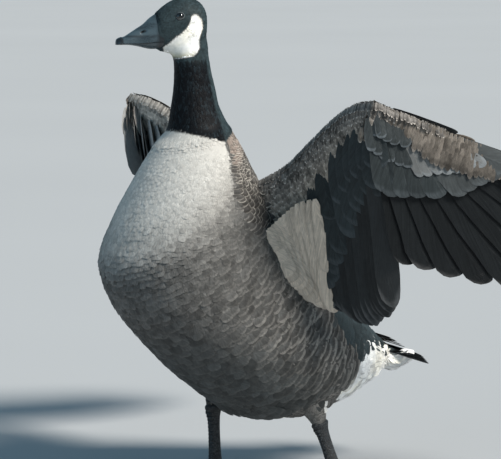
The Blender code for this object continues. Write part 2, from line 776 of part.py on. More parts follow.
def make_arm(finish):
    """The left upper arm and forearm, with secondaries and the greater coverts on both sides."""
    rng = random.Random(11)
    rings = []
    for i in range(ARM_STEPS + 1):
        share = i / ARM_STEPS
        front, chord, normal, _ = arm_frame(share)
        rings.append(airfoil_ring(front, chord, normal, spread(ARM_CHORD, share),
                                  spread(ARM_THICKNESS, share)))
    arm = loft("wing_left_arm", rings, finish)
    pieces = []
    for share in along_row(SECONDARIES):
        pieces.append(arm_vane(share, SECONDARY_ROOT, 0.0, None, SECONDARY_WIDTHS,
                               SECONDARY_TILT, FLIGHT_OUTLINE, rng))
    for share in along_row(GREATER_COVERTS):
        for way in (1.0, -1.0):
            pieces.append(arm_vane(share, COVERT_ROOT, way, COVERT_LENGTH, COVERT_WIDTHS,
                                   COVERT_TILT, COVERT_OUTLINE, rng, COVERT_LIFT))
    pieces += axillaries(rng)
    unite(arm, pieces)
    wrist, _, _, side = arm_frame(1.0)
    cut(arm, half_space(wrist - side * (GAP * 0.5), side))
    return arm


# Long feathers of the armpit: how far each reaches, and their spacing along the wing
AXILLARIES = (0.118, 0.138, 0.150, 0.148)
AXILLARY_PLACE = 0.20
AXILLARY_STEP = 0.0100
AXILLARY_ROOT = 0.062
AXILLARY_DROP = 0.0125
AXILLARY_WIDTHS = (0.011, 0.016)


def axillaries(rng):
    """The long soft feathers that hang from the armpit, below the wing."""
    front, chord, normal, side = arm_frame(AXILLARY_PLACE)
    pieces = []
    for i, length in enumerate(AXILLARIES):
        root = front + chord * AXILLARY_ROOT + side * (AXILLARY_STEP * i) - normal * AXILLARY_DROP
        direction = (chord - normal * 0.02 + side * 0.03 * i).normalized()
        upright = Matrix.Rotation(-COVERT_TILT, 3, direction) @ normal
        pieces.append(vane(root, direction, upright, length * rng.uniform(0.98, 1.02),
                           *AXILLARY_WIDTHS, VANE_THICKNESS, 0.0, FLIGHT_OUTLINE))
    return pieces


def half_space(point, normal, size=0.9):
    """A large box that starts at a plane and fills the side its normal points to."""
    across = normal.orthogonal().normalized()
    other = normal.cross(across).normalized()
    verts = []
    for depth in (0.0, size):
        for u, v in ((-size, -size), (size, -size), (size, size), (-size, size)):
            verts.append(point + normal * depth + across * u + other * v)
    faces = [(0, 1, 2, 3), (4, 5, 6, 7), (0, 1, 5, 4), (1, 2, 6, 5), (2, 3, 7, 6), (3, 0, 4, 7)]
    return mesh_object("half_space", verts, faces)


# Primaries: count, first and last place along the hand, and the lengths of some of them
PRIMARIES = 10
PRIMARY_START = 0.26
PRIMARY_LENGTHS = (0.200, 0.226, 0.270, 0.318, 0.350, 0.345)
PRIMARY_TILT = math.radians(9)
PRIMARY_ROOT = 0.50
PRIMARY_BEND = 0.06
PRIMARY_COVERTS = 8
PRIMARY_COVERT_ROOT = 0.42
PRIMARY_COVERT_LIFT = 0.0080
PRIMARY_COVERT_WIDTHS = (0.010, 0.017)
HAND_STEPS = (-0.20, 0.0, 0.2, 0.4, 0.6, 0.8, 1.0)
# Thumb feathers, at the front of the hand
THUMB_LENGTHS = (0.075, 0.064, 0.050)
THUMB_WIDTHS = (0.006, 0.009)


def hand_direction(share):
    """Direction of a primary, fanned between the first and the last one."""
    angle = FIRST_PRIMARY.angle(LAST_PRIMARY) * share
    return Matrix.Rotation(-angle, 3, hand_normal()) @ FIRST_PRIMARY


def hand_chord():
    """Direction across the hand, square to its front edge."""
    return (FIRST_PRIMARY - LAST_PRIMARY * FIRST_PRIMARY.dot(LAST_PRIMARY)).normalized()


def hand_vane(share, place, way, tip_lift, length, widths, bend, tilt, outline, rng):
    """A feather of the hand, rooted across it, above or below its middle plane."""
    normal = hand_normal()
    along = PRIMARY_START + (0.97 - PRIMARY_START) * share
    lift = way * HAND_LIFT * spread(HAND_THICKNESS, along)
    root = WING_FRONT[-1] + LAST_PRIMARY * (HAND_LENGTH * along)
    root += hand_chord() * (spread(HAND_WIDTH, along) * place) + normal * lift
    direction = hand_direction(share)
    direction = (direction * length + normal * (way * tip_lift - lift)).normalized()
    upright = (normal - direction * normal.dot(direction)).normalized()
    upright = Matrix.Rotation(-tilt, 3, direction) @ upright
    lead, trail = widths
    return vane(root, direction, upright, length * rng.uniform(0.985, 1.015), lead, trail,
                VANE_THICKNESS, bend, outline)


def make_hand(finish):
    """The left hand, with its primaries, their coverts on both sides and the thumb feathers."""
    rng = random.Random(23)
    normal = hand_normal()
    rings = []
    for share in HAND_STEPS:
        front = WING_FRONT[-1] + LAST_PRIMARY * (HAND_LENGTH * share)
        rings.append(airfoil_ring(front, hand_chord(), normal, spread(HAND_WIDTH, share),
                                  spread(HAND_THICKNESS, share)))
    end = WING_FRONT[-1] + LAST_PRIMARY * (HAND_LENGTH * 1.06) + hand_chord() * 0.006
    hand = loft("wing_left_hand", rings, finish, None, end)
    pieces = []
    for i in range(PRIMARIES):
        share = i / (PRIMARIES - 1)
        trail = 0.022 if i == 0 else 0.026 - 0.007 * share
        pieces.append(hand_vane(share, PRIMARY_ROOT, 0.0, 0.0, spread(PRIMARY_LENGTHS, share),
                                (0.011 - 0.004 * share, trail), PRIMARY_BEND, PRIMARY_TILT,
                                FLIGHT_OUTLINE, rng))
    for i in range(PRIMARY_COVERTS):
        share = i / (PRIMARY_COVERTS - 1)
        for way in (1.0, -1.0):
            pieces.append(hand_vane(share, PRIMARY_COVERT_ROOT, way, PRIMARY_COVERT_LIFT,
                                    0.086 + 0.010 * share, PRIMARY_COVERT_WIDTHS, 0.0,
                                    COVERT_TILT, COVERT_OUTLINE, rng))
    for i, length in enumerate(THUMB_LENGTHS):
        root = WING_FRONT[-1] + LAST_PRIMARY * 0.006 + hand_chord() * (0.005 + 0.002 * i)
        root += normal * (0.0022 + 0.0014 * i)
        direction = (LAST_PRIMARY + normal * (0.20 + 0.02 * i) - hand_chord() * 0.10).normalized()
        upright = (normal - direction * normal.dot(direction)).normalized()
        pieces.append(vane(root, direction, upright, length, *THUMB_WIDTHS, VANE_THICKNESS, 0.0,
                           COVERT_OUTLINE))
    unite(hand, pieces)
    wrist, _, _, side = arm_frame(1.0)
    cut(hand, half_space(wrist + side * (GAP * 0.5), -side))
    return hand


def right_wing_matrix():
    """The turn that takes the mirrored left wing to the right wing's place."""
    shoulder = Vector((-WING_FRONT[0].x, WING_FRONT[0].y, WING_FRONT[0].z))
    turn = Matrix.Rotation(-RIGHT_WING_DROP, 4, "Y") @ Matrix.Rotation(RIGHT_WING_PITCH, 4, "X")
    turn = Matrix.Rotation(RIGHT_WING_YAW, 4, "Z") @ turn
    mirror = Matrix.Diagonal((-1.0, 1.0, 1.0, 1.0))
    return Matrix.Translation(shoulder) @ turn @ Matrix.Translation(-shoulder) @ mirror


def mirrored_wing(obj, name, finish):
    """A right wing node made from a left one."""
    mesh = obj.data.copy()
    mesh.transform(right_wing_matrix())
    mesh.flip_normals()
    mesh.materials.clear()
    mesh.materials.append(finish)
    copy = bpy.data.objects.new(name, mesh)
    bpy.context.scene.collection.objects.link(copy)
    return copy


def make_tail(finish):
    """The tail: its core, the fanned tail feathers and the coverts above and below."""
    rings = trunk_rings(TAIL_STATIONS, 2, BODY_SIDES, BODY_PEAR)
    away = ring_normal(rings[0])
    if away.y < 0:
        away = -away
    rings[0] = moved(rings[0], away * GAP)
    tail = loft("tail", rings, finish)
    rng = random.Random(5)
    line = Vector((0.0, math.cos(TAIL_SLOPE), math.sin(TAIL_SLOPE)))
    up = Vector((0.0, -math.sin(TAIL_SLOPE), math.cos(TAIL_SLOPE)))
    pieces = []
    for i in range(TAIL_FEATHERS):
        rank = (i + 1) // 2
        sign = 1.0 if i % 2 else -1.0
        turn = sign * TAIL_SPREAD * rank / (TAIL_FEATHERS // 2)
        layer = 0.0042 - TAIL_LAYER * i
        direction = Matrix.Rotation(-turn, 3, up) @ line
        root = TAIL_ROOT + up * layer + Vector((sign * TAIL_ROOT_STEP * rank, 0.0, 0.0))
        length = TAIL_LENGTH * (1.0 - 0.012 * rank) * rng.uniform(0.985, 1.015)
        half, thick = TAIL_VANE
        pieces.append(vane(root, direction, up, length, half, half, thick, 0.03, TAIL_OUTLINE))
    unite(tail, pieces)
    return tail


def clear_of(obj, neighbour):
    """Cut a node clear of a neighbour that it grows from."""
    cut(obj, grown_copy(neighbour, CUT_GROWTH))


def recentre(nodes):
    """Move the bird so that its lowest point is on z = 0 and its box is centred on the origin."""
    corners = [vertex.co for node in nodes for vertex in node.data.vertices]
    low = [min(corner[axis] for corner in corners) for axis in range(3)]
    high = [max(corner[axis] for corner in corners) for axis in range(3)]
    shift = Vector((-(low[0] + high[0]) * 0.5, -(low[1] + high[1]) * 0.5, -low[2]))
    for node in nodes:
        node.data.transform(Matrix.Translation(shift))


def build():
    """Make every node of the bird."""
    clear_scene()
    black = material("black_feathers", COLOURS["black"], 0.62)
    breast = material("body_feathers", COLOURS["breast"], 0.85)
    brown = material("wing_feathers", COLOURS["brown"], 0.8)
    slate = material("flight_feathers", COLOURS["slate"], 0.7)
    horn = material("bill_horn", COLOURS["bill"], 0.35)
    skin = material("leg_skin", COLOURS["leg"], 0.5)
    glass = material("eye_gloss", COLOURS["eye"], 0.05)
    white = material("vent_feathers", COLOURS["white"], 0.85)

    torso = make_torso(breast)
    nodes = [torso, make_neck(black), make_head(black)]
    head = nodes[-1]
    for side, sign in (("left", 1.0), ("right", -1.0)):
        nodes.append(make_eye(side, sign, glass))
    for upper in (True, False):
        bill = make_bill(upper, horn)
        nodes.append(bill)
    nodes.append(make_tail(slate))
    for side, sign in (("left", 1.0), ("right", -1.0)):
        leg = LEGS[side]
        shank = make_shank(side, leg, white)
        clear_of(shank, torso)
        nodes += [shank, make_tarsus(side, leg, skin), make_foot(side, sign, leg, skin)]
    arm = make_arm(brown)
    hand = make_hand(slate)
    right_arm = mirrored_wing(arm, "wing_right_arm", brown)
    right_hand = mirrored_wing(hand, "wing_right_hand", slate)
    clear_of(arm, torso)
    clear_of(right_arm, torso)
    nodes += [arm, hand, right_arm, right_hand]
    recentre(nodes)
    for node in nodes:
        node.data.shade_smooth()
        node.data.set_sharp_from_angle(angle=math.radians(40))


build()
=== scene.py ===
"""Looks of a Canada goose standing with both wings half raised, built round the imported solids.

Shapes come from named sizes in the bird's own frame, in metres, and SHIFT takes them to the frame
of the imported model. The bird faces -Y and its left wing is towards +X.
"""
import math
from itertools import product

import bmesh
import bpy
import numpy as np
from mathutils import Matrix, Vector
from mathutils.bvhtree import BVHTree
from mathutils.kdtree import KDTree


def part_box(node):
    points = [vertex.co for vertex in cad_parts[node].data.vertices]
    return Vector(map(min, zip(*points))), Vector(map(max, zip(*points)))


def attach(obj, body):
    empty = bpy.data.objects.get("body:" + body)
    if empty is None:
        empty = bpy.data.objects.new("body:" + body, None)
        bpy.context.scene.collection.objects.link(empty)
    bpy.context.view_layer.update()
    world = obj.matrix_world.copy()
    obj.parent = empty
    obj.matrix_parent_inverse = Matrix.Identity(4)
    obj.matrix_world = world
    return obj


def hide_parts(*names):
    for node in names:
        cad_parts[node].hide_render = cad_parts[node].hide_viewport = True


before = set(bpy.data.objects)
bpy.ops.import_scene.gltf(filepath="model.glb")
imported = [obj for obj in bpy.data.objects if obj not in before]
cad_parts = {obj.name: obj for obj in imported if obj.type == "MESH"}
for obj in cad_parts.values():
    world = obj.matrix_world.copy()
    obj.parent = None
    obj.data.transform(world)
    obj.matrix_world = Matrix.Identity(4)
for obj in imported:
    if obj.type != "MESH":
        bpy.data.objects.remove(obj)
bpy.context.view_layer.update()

# The neck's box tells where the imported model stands: its middle, and its front at this y
NECK_FRONT = -0.1280
NECK_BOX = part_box("neck")
SHIFT = np.array([(NECK_BOX[0].x + NECK_BOX[1].x) * 0.5, NECK_BOX[0].y - NECK_FRONT, 0.0])

# Trunk from the tail's core to the throat: y and z of the back and of the belly, half width
TRUNK = (
    (0.250, 0.158, 0.249, 0.151, 0.0270), (0.237, 0.164, 0.235, 0.146, 0.0320),
    (0.222, 0.171, 0.216, 0.137, 0.0345), (0.208, 0.178, 0.198, 0.128, 0.036),
    (0.184, 0.201, 0.156, 0.106, 0.058), (0.152, 0.232, 0.103, 0.087, 0.080),
    (0.118, 0.267, 0.036, 0.079, 0.101), (0.085, 0.304, -0.038, 0.097, 0.113),
    (0.052, 0.343, -0.105, 0.143, 0.119), (0.022, 0.381, -0.161, 0.195, 0.119),
    (-0.001, 0.413, -0.202, 0.245, 0.115), (-0.016, 0.440, -0.219, 0.297, 0.107),
    (-0.026, 0.460, -0.203, 0.345, 0.095), (-0.033, 0.474, -0.183, 0.388, 0.079),
    (-0.038, 0.483, -0.162, 0.430, 0.063), (-0.043, 0.490, -0.142, 0.461, 0.052),
    (-0.0475, 0.497, -0.128, 0.479, 0.042), (-0.0555, 0.515, -0.1225, 0.505, 0.0335),
    (-0.0605, 0.538, -0.1190, 0.534, 0.0280), (-0.0660, 0.562, -0.1185, 0.559, 0.0250),
    (-0.0690, 0.584, -0.1215, 0.578, 0.0238))
NECK_START, THROAT, TRUNK_PEAR = 16, 20, 0.08
# Top of the throat inside the skull: rise, share of the neck's width, step forward
THROAT_RINGS = ((0.012, 0.96, 0.0002), (0.024, 0.86, 0.0010), (0.036, 0.68, 0.0036),
                (0.044, 0.48, 0.0080))

# Skull: distance forward, crown height, throat height, half width
HEAD_BASE, HEAD_TURN = np.array([0.0, -0.0955, 0.0]), math.radians(18)
SKULL = (
    (-0.0225, 0.6330, 0.6040, 0.0098), (-0.0190, 0.6420, 0.5930, 0.0168),
    (-0.0120, 0.6500, 0.5830, 0.0224), (-0.0020, 0.6548, 0.5770, 0.0250),
    (0.0090, 0.6562, 0.5752, 0.0254), (0.0190, 0.6545, 0.5762, 0.0240),
    (0.0290, 0.6500, 0.5785, 0.0214), (0.0380, 0.6435, 0.5812, 0.0183),
    (0.0450, 0.6372, 0.5838, 0.0156), (0.0490, 0.6330, 0.5858, 0.0140))
EYE_FORWARD, EYE_HEIGHT, EYE_RADIUS, EYE_DEPTH = 0.0188, 0.6310, 0.0070, 0.0056
EYE_WAY, CORNEA_RISE, IRIS_ANGLE = (0.20, 0.94, 0.28), 0.035, math.radians(42)
LID_OPENING, LID_WIDTH, EYE_BARE = 0.0044, 0.0006, 0.0054
MOUTH_HEIGHT = 0.5962
# White cheek, seen from the side: distance forward and height of its outline
CHEEK = ((0.0024, 0.6314), (-0.0018, 0.6324), (-0.0062, 0.6310), (-0.0108, 0.6248),
         (-0.0128, 0.6177), (-0.0104, 0.6080), (-0.0078, 0.5990), (-0.0080, 0.5880),
         (-0.0052, 0.5820), (0.0000, 0.5782), (0.0070, 0.5762), (0.0180, 0.5740), (0.0300, 0.5750),
         (0.0345, 0.5800), (0.0372, 0.5842), (0.0395, 0.5888), (0.0337, 0.5932), (0.0251, 0.6018),
         (0.0160, 0.6082), (0.0098, 0.6150), (0.0056, 0.6220), (0.0036, 0.6280))
# Where feathers end and horn begins beside the mouth: heights, and distances forward
BILL_EDGE = ((0.5790, 0.5860, 0.5935, 0.5985, 0.6060, 0.6150, 0.6240, 0.6330),
             (0.0490, 0.0455, 0.0400, 0.0392, 0.0425, 0.0462, 0.0482, 0.0490))

# Bill: distance forward, culmen height, chin height, half width
BILL = ((0.0486, 0.6322, 0.5866, 0.0139), (0.0560, 0.6270, 0.5868, 0.0129),
        (0.0640, 0.6196, 0.5885, 0.0121), (0.0730, 0.6138, 0.5906, 0.0113),
        (0.0820, 0.6080, 0.5920, 0.0105), (0.0890, 0.6037, 0.5924, 0.0095),
        (0.0945, 0.6020, 0.5922, 0.0084), (0.0980, 0.6006, 0.5922, 0.0070),
        (0.1000, 0.5990, 0.5925, 0.0050), (0.1009, 0.5962, 0.5930, 0.0024))
LOWER_BILL_SHARE, LOWER_BILL_END, MOUTH_DIP, BILL_SLANT = 0.88, 0.0970, 0.0012, 0.0098
NOSTRIL, NOSTRIL_SIZE = (0.0652, 0.6098), (0.0042, 0.0015)

# Left wing: front edge from shoulder to wrist, tips of the arm's feathers, chord and thickness
WING_FRONT = ((0.045, -0.034, 0.404), (0.090, -0.004, 0.434), (0.130, 0.002, 0.463),
              (0.200, 0.002, 0.506), (0.250, -0.003, 0.524), (0.292, -0.004, 0.530))
WING_TIPS = ((0.128, 0.046, 0.262), (0.140, 0.056, 0.248), (0.155, 0.062, 0.240),
             (0.190, 0.069, 0.228), (0.216, 0.075, 0.238), (0.241, 0.073, 0.264))
ARM_CHORD = (0.130, 0.112, 0.100, 0.084, 0.070, 0.054)
ARM_THICKNESS, WING_THINNING = (0.040, 0.036, 0.030, 0.024, 0.020, 0.017), 0.6
HAND_LENGTH, HAND_WIDTH = 0.115, (0.040, 0.034, 0.026, 0.014)
HAND_THICKNESS = (0.0165, 0.014, 0.011, 0.006)
FIRST_PRIMARY, LAST_PRIMARY = (-0.19, 0.30, -0.93), (0.145, 0.92, -0.35)
PRIMARY_LENGTHS = (0.200, 0.226, 0.270, 0.318, 0.350, 0.345)
PRIMARIES, PRIMARY_START, PRIMARY_END, SECONDARIES, TERTIALS = 10, 0.26, 0.97, 14, 5
# Armpit: lines on which its long feathers root and end, from the body side out to the wing
PIT_ROOTS = ((0.0970, -0.0370, 0.3370), (0.1010, -0.0230, 0.3440), (0.1080, -0.0090, 0.3530),
             (0.1240, 0.0020, 0.3640), (0.1460, 0.0125, 0.3700))
PIT_TIPS = ((0.1090, -0.0080, 0.2880), (0.1110, 0.0100, 0.2680), (0.1110, 0.0320, 0.2500),
            (0.1160, 0.0510, 0.2380), (0.1240, 0.0530, 0.2400))
# The right wing mirrors the left one and is turned about its shoulder
RIGHT_WING_TURN = (("Z", math.radians(5)), ("Y", math.radians(-3)), ("X", math.radians(-9)))

# Tail: feathers fanned from the trunk's end
TAIL_ROOT, TAIL_SLOPE = np.array([0.0, 0.208, 0.166]), math.radians(-17)
TAIL_LENGTH, TAIL_SPREAD, TAIL_FEATHERS = 0.078, math.radians(17), 16

# Legs: hip, ankle and foot joint of each, and the way its toes point, in degrees
LEGS = {"left": ((0.052, 0.046, 0.150), (0.060, 0.072, 0.0790), (0.069, 0.092, 0.0130), 8),
        "right": ((-0.052, -0.010, 0.160), (-0.055, -0.025, 0.0960), (-0.055, -0.022, 0.0130), -8)}
SHANK_RINGS = ((0.0, 0.0300), (0.35, 0.0264), (0.60, 0.0204), (0.80, 0.01475), (0.96, 0.0112))
SHANK_DEPTH, ANKLE_RADIUS, TARSUS_RADIUS, TARSUS_DEPTH = 1.15, 0.0098, 0.0066, 1.35
# Swelling of the bare leg by share of its length; of a toe, with its height
TARSUS_RINGS = ((-0.02, 1.02), (0.04, 1.42), (0.12, 1.24), (0.22, 1.04), (0.45, 0.95), (0.75, 1.0),
                (0.92, 1.10), (1.0, 1.28))
TOE_RINGS = ((0.0, 1.1, 0.0150), (0.10, 1.18, 0.0135), (0.20, 0.98, 0.0112), (0.30, 0.86, 0.0094),
             (0.38, 0.98, 0.0102), (0.44, 1.0, 0.0098), (0.54, 0.80, 0.0078), (0.64, 0.78, 0.0074),
             (0.70, 0.88, 0.0080), (0.78, 0.86, 0.0074), (0.90, 0.62, 0.0056), (1.0, 0.46, 0.0044))
# Hind toe: distance back, radius. Front toes: splay, length, radius
HIND_TOE = ((0.0, 0.0036), (0.006, 0.0035), (0.012, 0.0030), (0.018, 0.0023))
TOES = ((math.radians(-27), 0.066, 0.0056), (0.0, 0.084, 0.0060), (math.radians(27), 0.074, 0.0056))
CLAW_LENGTH, SOLE_HEIGHT, LEG_SIDES, CLAW_SIDES, TOE_SIDES = 0.009, 0.0006, 28, 12, 18

# Outlines of a feather's vane: place along it, and share of its half width
SMALL_VANE = ((0.0, 0.40), (0.30, 0.85), (0.60, 1.0), (0.85, 0.78), (1.0, 0.30))
BODY_VANE = ((0.0, 0.34), (0.30, 0.78), (0.52, 0.97), (0.72, 1.0), (0.84, 0.95), (0.92, 0.86),
             (0.98, 0.60), (1.0, 0.28))
ROUND_VANE = ((0.0, 0.40), (0.25, 0.80), (0.55, 1.0), (0.78, 1.0), (0.90, 0.86), (0.965, 0.60),
              (1.0, 0.22))
FLIGHT_VANE = ((0.0, 0.35), (0.10, 0.62), (0.22, 0.84), (0.38, 0.96), (0.55, 1.0), (0.70, 1.0),
               (0.82, 0.98), (0.90, 0.90), (0.95, 0.74), (0.98, 0.50), (0.995, 0.25), (1.0, 0.10))
SMALL_COVERT = ((0.0, 0.40), (0.45, 0.95), (0.80, 0.86), (1.0, 0.30))

# Markings by place on the trunk, from its fourth station on: tone, which darkens down the lower
# breast and belly partly as the bird's own colour and partly as painted shade, bars on the
# feathers, and the angle from the back at which the dark back gives way to the paler breast and
# flank
FIRST_MARK = 3
BREAST_TONE_AND_SHADE = (0.50, 0.52, 0.56, 0.60, 0.62, 0.61, 0.58, 0.50, 0.36, 0.18, 0.06, 0.02, 0.0, 0.0)
BAR_STRENGTH = (0.3, 0.5, 0.8, 0.85, 0.80, 0.62, 0.38, 0.24, 0.22, 0.26, 0.18, 0.12, 0.10, 0.1)
BACK_EDGE = (1.30, 1.20, 1.50, 1.32, 1.00, 0.82, 0.98, 1.20, 1.18, 1.16, 1.08, 1.10, 1.12, 1.1)
# Places on the trunk and angles from the back at which the white of the vent begins
VENT_PLACES = (2.0, 3.0, 4.0, 4.6, 5.0, 5.2, 5.6, 6.2, 6.6)
VENT_EDGE = (1.20, 1.10, 1.00, 1.20, 1.46, 1.97, 2.33, 2.8, 3.3)
NECK_EDGE, NECK_FALL, NECK_LOW = 0.4785, 0.27, 0.4655

# Rows of the trunk's feathers: distance between them by place, from the tail's end to the throat
ROW_STEP = (0.0085, 0.0085, 0.0088, 0.0092, 0.0096, 0.0098, 0.0100, 0.0098, 0.0094, 0.0086, 0.0074,
            0.0062, 0.0052, 0.0045, 0.0040, 0.0036, 0.0034, 0.0033, 0.0032, 0.0030, 0.0029)
FEATHER_REACH, FEATHER_BREADTH, SHINGLE, TUFT_PATCH = 3.0, 2.1, 0.12, 0.003
HEAD_COAT_LOW, HEAD_GAP, HEAD_REACH = 0.5735, (0.0015, 0.0024), 2.6
SKIN_VOXEL, SKIN_SIDES, SHANK_SIDES, WING_SIDES = 0.0027, 56, 24, 20

# Camera: the photo's framing, as direction, distance, aim and lens
AZIMUTH, ELEVATION, DISTANCE, LENS = math.radians(57), math.radians(6), 4.0, 212.7
AIM = np.array([0.0, 0.0, 0.34])


def unit(v):
    """Vectors scaled to length one."""
    v = np.asarray(v, float)
    return v / np.maximum(np.linalg.norm(v, axis=-1, keepdims=True), 1e-12)


def step(low, high, x):
    """A smooth rise from 0 to 1 between two values, or a fall where high is below low."""
    t = np.clip((np.asarray(x, float) - low) / (high - low), 0.0, 1.0)
    return t * t * (3.0 - 2.0 * t)


def spread(values, place):
    """A smooth curve through values, read at places counted in values from 0."""
    v = np.asarray(values, float)
    place = np.clip(np.asarray(place, float), 0.0, len(v) - 1)
    i = np.minimum(place.astype(int), len(v) - 2)
    f = place - i
    if v.ndim > 1:
        f = f[..., None]
    before, start, end = v[np.maximum(i - 1, 0)], v[i], v[i + 1]
    after = v[np.minimum(i + 2, len(v) - 1)]
    f2, f3 = f * f, f * f * f
    return (start * (2 * f3 - 3 * f2 + 1) + (end - before) * 0.5 * (f3 - 2 * f2 + f)
            + end * (3 * f2 - 2 * f3) + (after - start) * 0.5 * (f3 - f2))


def along(values, share):
    """The same curve, read at a share of its whole run."""
    return spread(values, share * (len(values) - 1))


def turns_of(sides, offset=0.0):
    """Equal angles round a ring."""
    return math.tau * (np.arange(sides) + offset) / sides


HEAD_AHEAD = np.array([-math.sin(HEAD_TURN), -math.cos(HEAD_TURN), 0.0])
HEAD_LEFT = np.array([math.cos(HEAD_TURN), -math.sin(HEAD_TURN), 0.0])
RIGHT, UP = np.array([1.0, 0.0, 0.0]), np.array([0.0, 0.0, 1.0])
WRIST, HAND_WAY = np.array(WING_FRONT[-1]), unit(LAST_PRIMARY)
HAND_UP = unit(np.cross(LAST_PRIMARY, FIRST_PRIMARY))
HAND_CHORD = unit(unit(FIRST_PRIMARY) - HAND_WAY * float(unit(FIRST_PRIMARY) @ HAND_WAY))


def trunk(place, angle):
    """Points of the trunk. Place counts its stations, angle goes from the back round the left."""
    place, angle = np.broadcast_arrays(np.asarray(place, float), np.asarray(angle, float))
    line = spread(TRUNK, place)
    c, s = np.cos(angle), np.sin(angle)
    pear = TRUNK_PEAR * step(NECK_START + 0.5, NECK_START - 3, place)
    middle = (line[..., 0:2] + line[..., 2:4]) * 0.5
    rise = (line[..., 0:2] - line[..., 2:4]) * 0.5 * c[..., None]
    x = line[..., 4] * (1.0 - pear * c) * s
    return np.concatenate([x[..., None], middle + rise], axis=-1)


def head_point(forward, side, height):
    """Points of the head's own frame, in the bird's frame."""
    forward, side, height = np.broadcast_arrays(forward, side, height)
    return (HEAD_BASE + HEAD_AHEAD * forward[..., None] + HEAD_LEFT * side[..., None]
            + UP * height[..., None])


def head_frame(points):
    """Forward, side and height of points in the head's own frame."""
    away = points - HEAD_BASE
    return away @ HEAD_AHEAD, away @ HEAD_LEFT, away[..., 2]


def oval(centre, way, across, wide, deep, sides):
    """A ring of points round a centre, square to a way."""
    back = unit(np.cross(way, across))
    across = unit(np.cross(back, way))
    turn = turns_of(sides)
    return (np.asarray(centre) + across * (wide * np.cos(turn))[:, None]
            + back * (deep * np.sin(turn))[:, None])


def tube(rings):
    """Vertices and faces of a closed tube through equal rings."""
    count, sides = len(rings), len(rings[0])
    faces = []
    for r, k in product(range(count - 1), range(sides)):
        a, b = r * sides + k, r * sides + (k + 1) % sides
        faces.append((a, b, b + sides, a + sides))
    ends = tuple(range(sides)), tuple(range((count - 1) * sides, count * sides))
    return np.concatenate(rings), [*faces, *ends]


def new_object(name, data):
    """A new object in the scene."""
    obj = bpy.data.objects.new(name, data)
    bpy.context.scene.collection.objects.link(obj)
    return obj


def mesh_object(name, parts, material, smooth=40):
    """One object from several pairs of vertices and faces, with its faces turned outwards."""
    verts, faces = [], []
    for points, polygons in parts:
        faces += [tuple(i + len(verts) for i in polygon) for polygon in polygons]
        verts += (points + SHIFT).tolist()
    mesh = bpy.data.meshes.new(name)
    mesh.from_pydata(verts, [], faces)
    bm = bmesh.new()
    bm.from_mesh(mesh)
    bmesh.ops.recalc_face_normals(bm, faces=bm.faces)
    bm.to_mesh(mesh)
    bm.free()
    mesh.shade_smooth()
    mesh.set_sharp_from_angle(angle=math.radians(smooth))
    mesh.materials.append(material)
    return new_object(name, mesh)


def read(items, key, width=3, kind=np.float32):
    """One value of every item of a mesh, as rows."""
    flat = np.empty(len(items) * width, kind)
    items.foreach_get(key, flat)
    return flat.reshape(-1, width)


def coords(mesh):
    """A mesh's points in the bird's own frame."""
    return read(mesh.vertices, "co").astype(float) - SHIFT


def normals(mesh):
    """A mesh's vertex normals."""
    return read(mesh.vertex_normals, "vector").astype(float)


def write_coords(mesh, points):
    """Move a mesh's points, given in the bird's own frame."""
    mesh.vertices.foreach_set("co", (points + SHIFT).astype(np.float32).ravel())


def write_attribute(mesh, name, values):
    """Store numbers or triples on a mesh's points, for its material to read."""
    values = np.asarray(values, np.float32)
    kind, key = (("FLOAT", "value"), ("FLOAT_VECTOR", "vector"))[values.ndim - 1]
    made = mesh.attributes.get(name) or mesh.attributes.new(name, kind, "POINT")
    made.data.foreach_set(key, values.ravel())


def finish_piece(obj, slot, *nodes):
    """Let a piece ride on the bird, and hide the solids that it stands for; its slot is not used.
    """
    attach(obj, "root")
    if nodes:
        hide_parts(*nodes)


def wing_frame(place):
    """Front edge, chord way, upper normal, depth and thickness of the left wing.

    Place runs from the shoulder (0) to the wrist (1) and on to the end of the hand (2).
    """
    if place > 1.0:
        share = place - 1.0
        swell = (ARM_CHORD[-1] - HAND_WIDTH[0]) * step(1.25, 0.95, place) * 0.6
        return (WRIST + HAND_WAY * (HAND_LENGTH * share), HAND_CHORD, HAND_UP,
                along(HAND_WIDTH, share) + swell, along(HAND_THICKNESS, share))
    front = along(WING_FRONT, place)
    chord = unit(along(WING_TIPS, place) - front)
    steady = max(place, 0.40)
    run = along(WING_FRONT, steady + 0.05) - along(WING_FRONT, steady - 0.05)
    up = unit(np.cross(run, chord))
    up = up + (HAND_UP - up) * (0.5 * place ** 2)
    return (front, chord, unit(up - chord * (up @ chord)), along(ARM_CHORD, place),
            along(ARM_THICKNESS, place))


def primary_way(share):
    """Direction of a primary, fanned between the first and the last one."""
    first, last = Vector(unit(FIRST_PRIMARY)), Vector(HAND_WAY)
    return np.array(Matrix.Rotation(-first.angle(last) * share, 3, Vector(HAND_UP)) @ first)


def airfoil(place, across, way, inset=0.0):
    """Surface of the wing's fleshy part at a share of its chord, above or below."""
    front, chord, up, depth, thick = wing_frame(place)
    turn = np.arccos(np.clip(1.0 - 2.0 * across, -1, 1))
    rise = (thick * 0.5 - inset) * np.sin(turn) * (1.0 - WING_THINNING * across)
    return front + chord * (depth * across) + up * (way * rise)


def airfoil_ring(place):
    """A closed section of the wing's fleshy part."""
    return np.array([airfoil(place, (1.0 - math.cos(turn)) * 0.5,
                             math.copysign(1.0, math.sin(turn))) for turn in turns_of(WING_SIDES)])


def right_wing(points, as_way=False):
    """Points or ways of the left wing, taken to the right wing."""
    turn = Matrix.Identity(3)
    for axis, angle in RIGHT_WING_TURN:
        turn = turn @ Matrix.Rotation(angle, 3, axis)
    turn = np.array(turn) @ np.diag((-1.0, 1.0, 1.0))
    moved = np.asarray(points) @ turn.T
    shoulder = np.array(Vector(WING_FRONT[0]))
    return moved if as_way else moved + shoulder * (-1.0, 1.0, 1.0) - shoulder @ turn.T


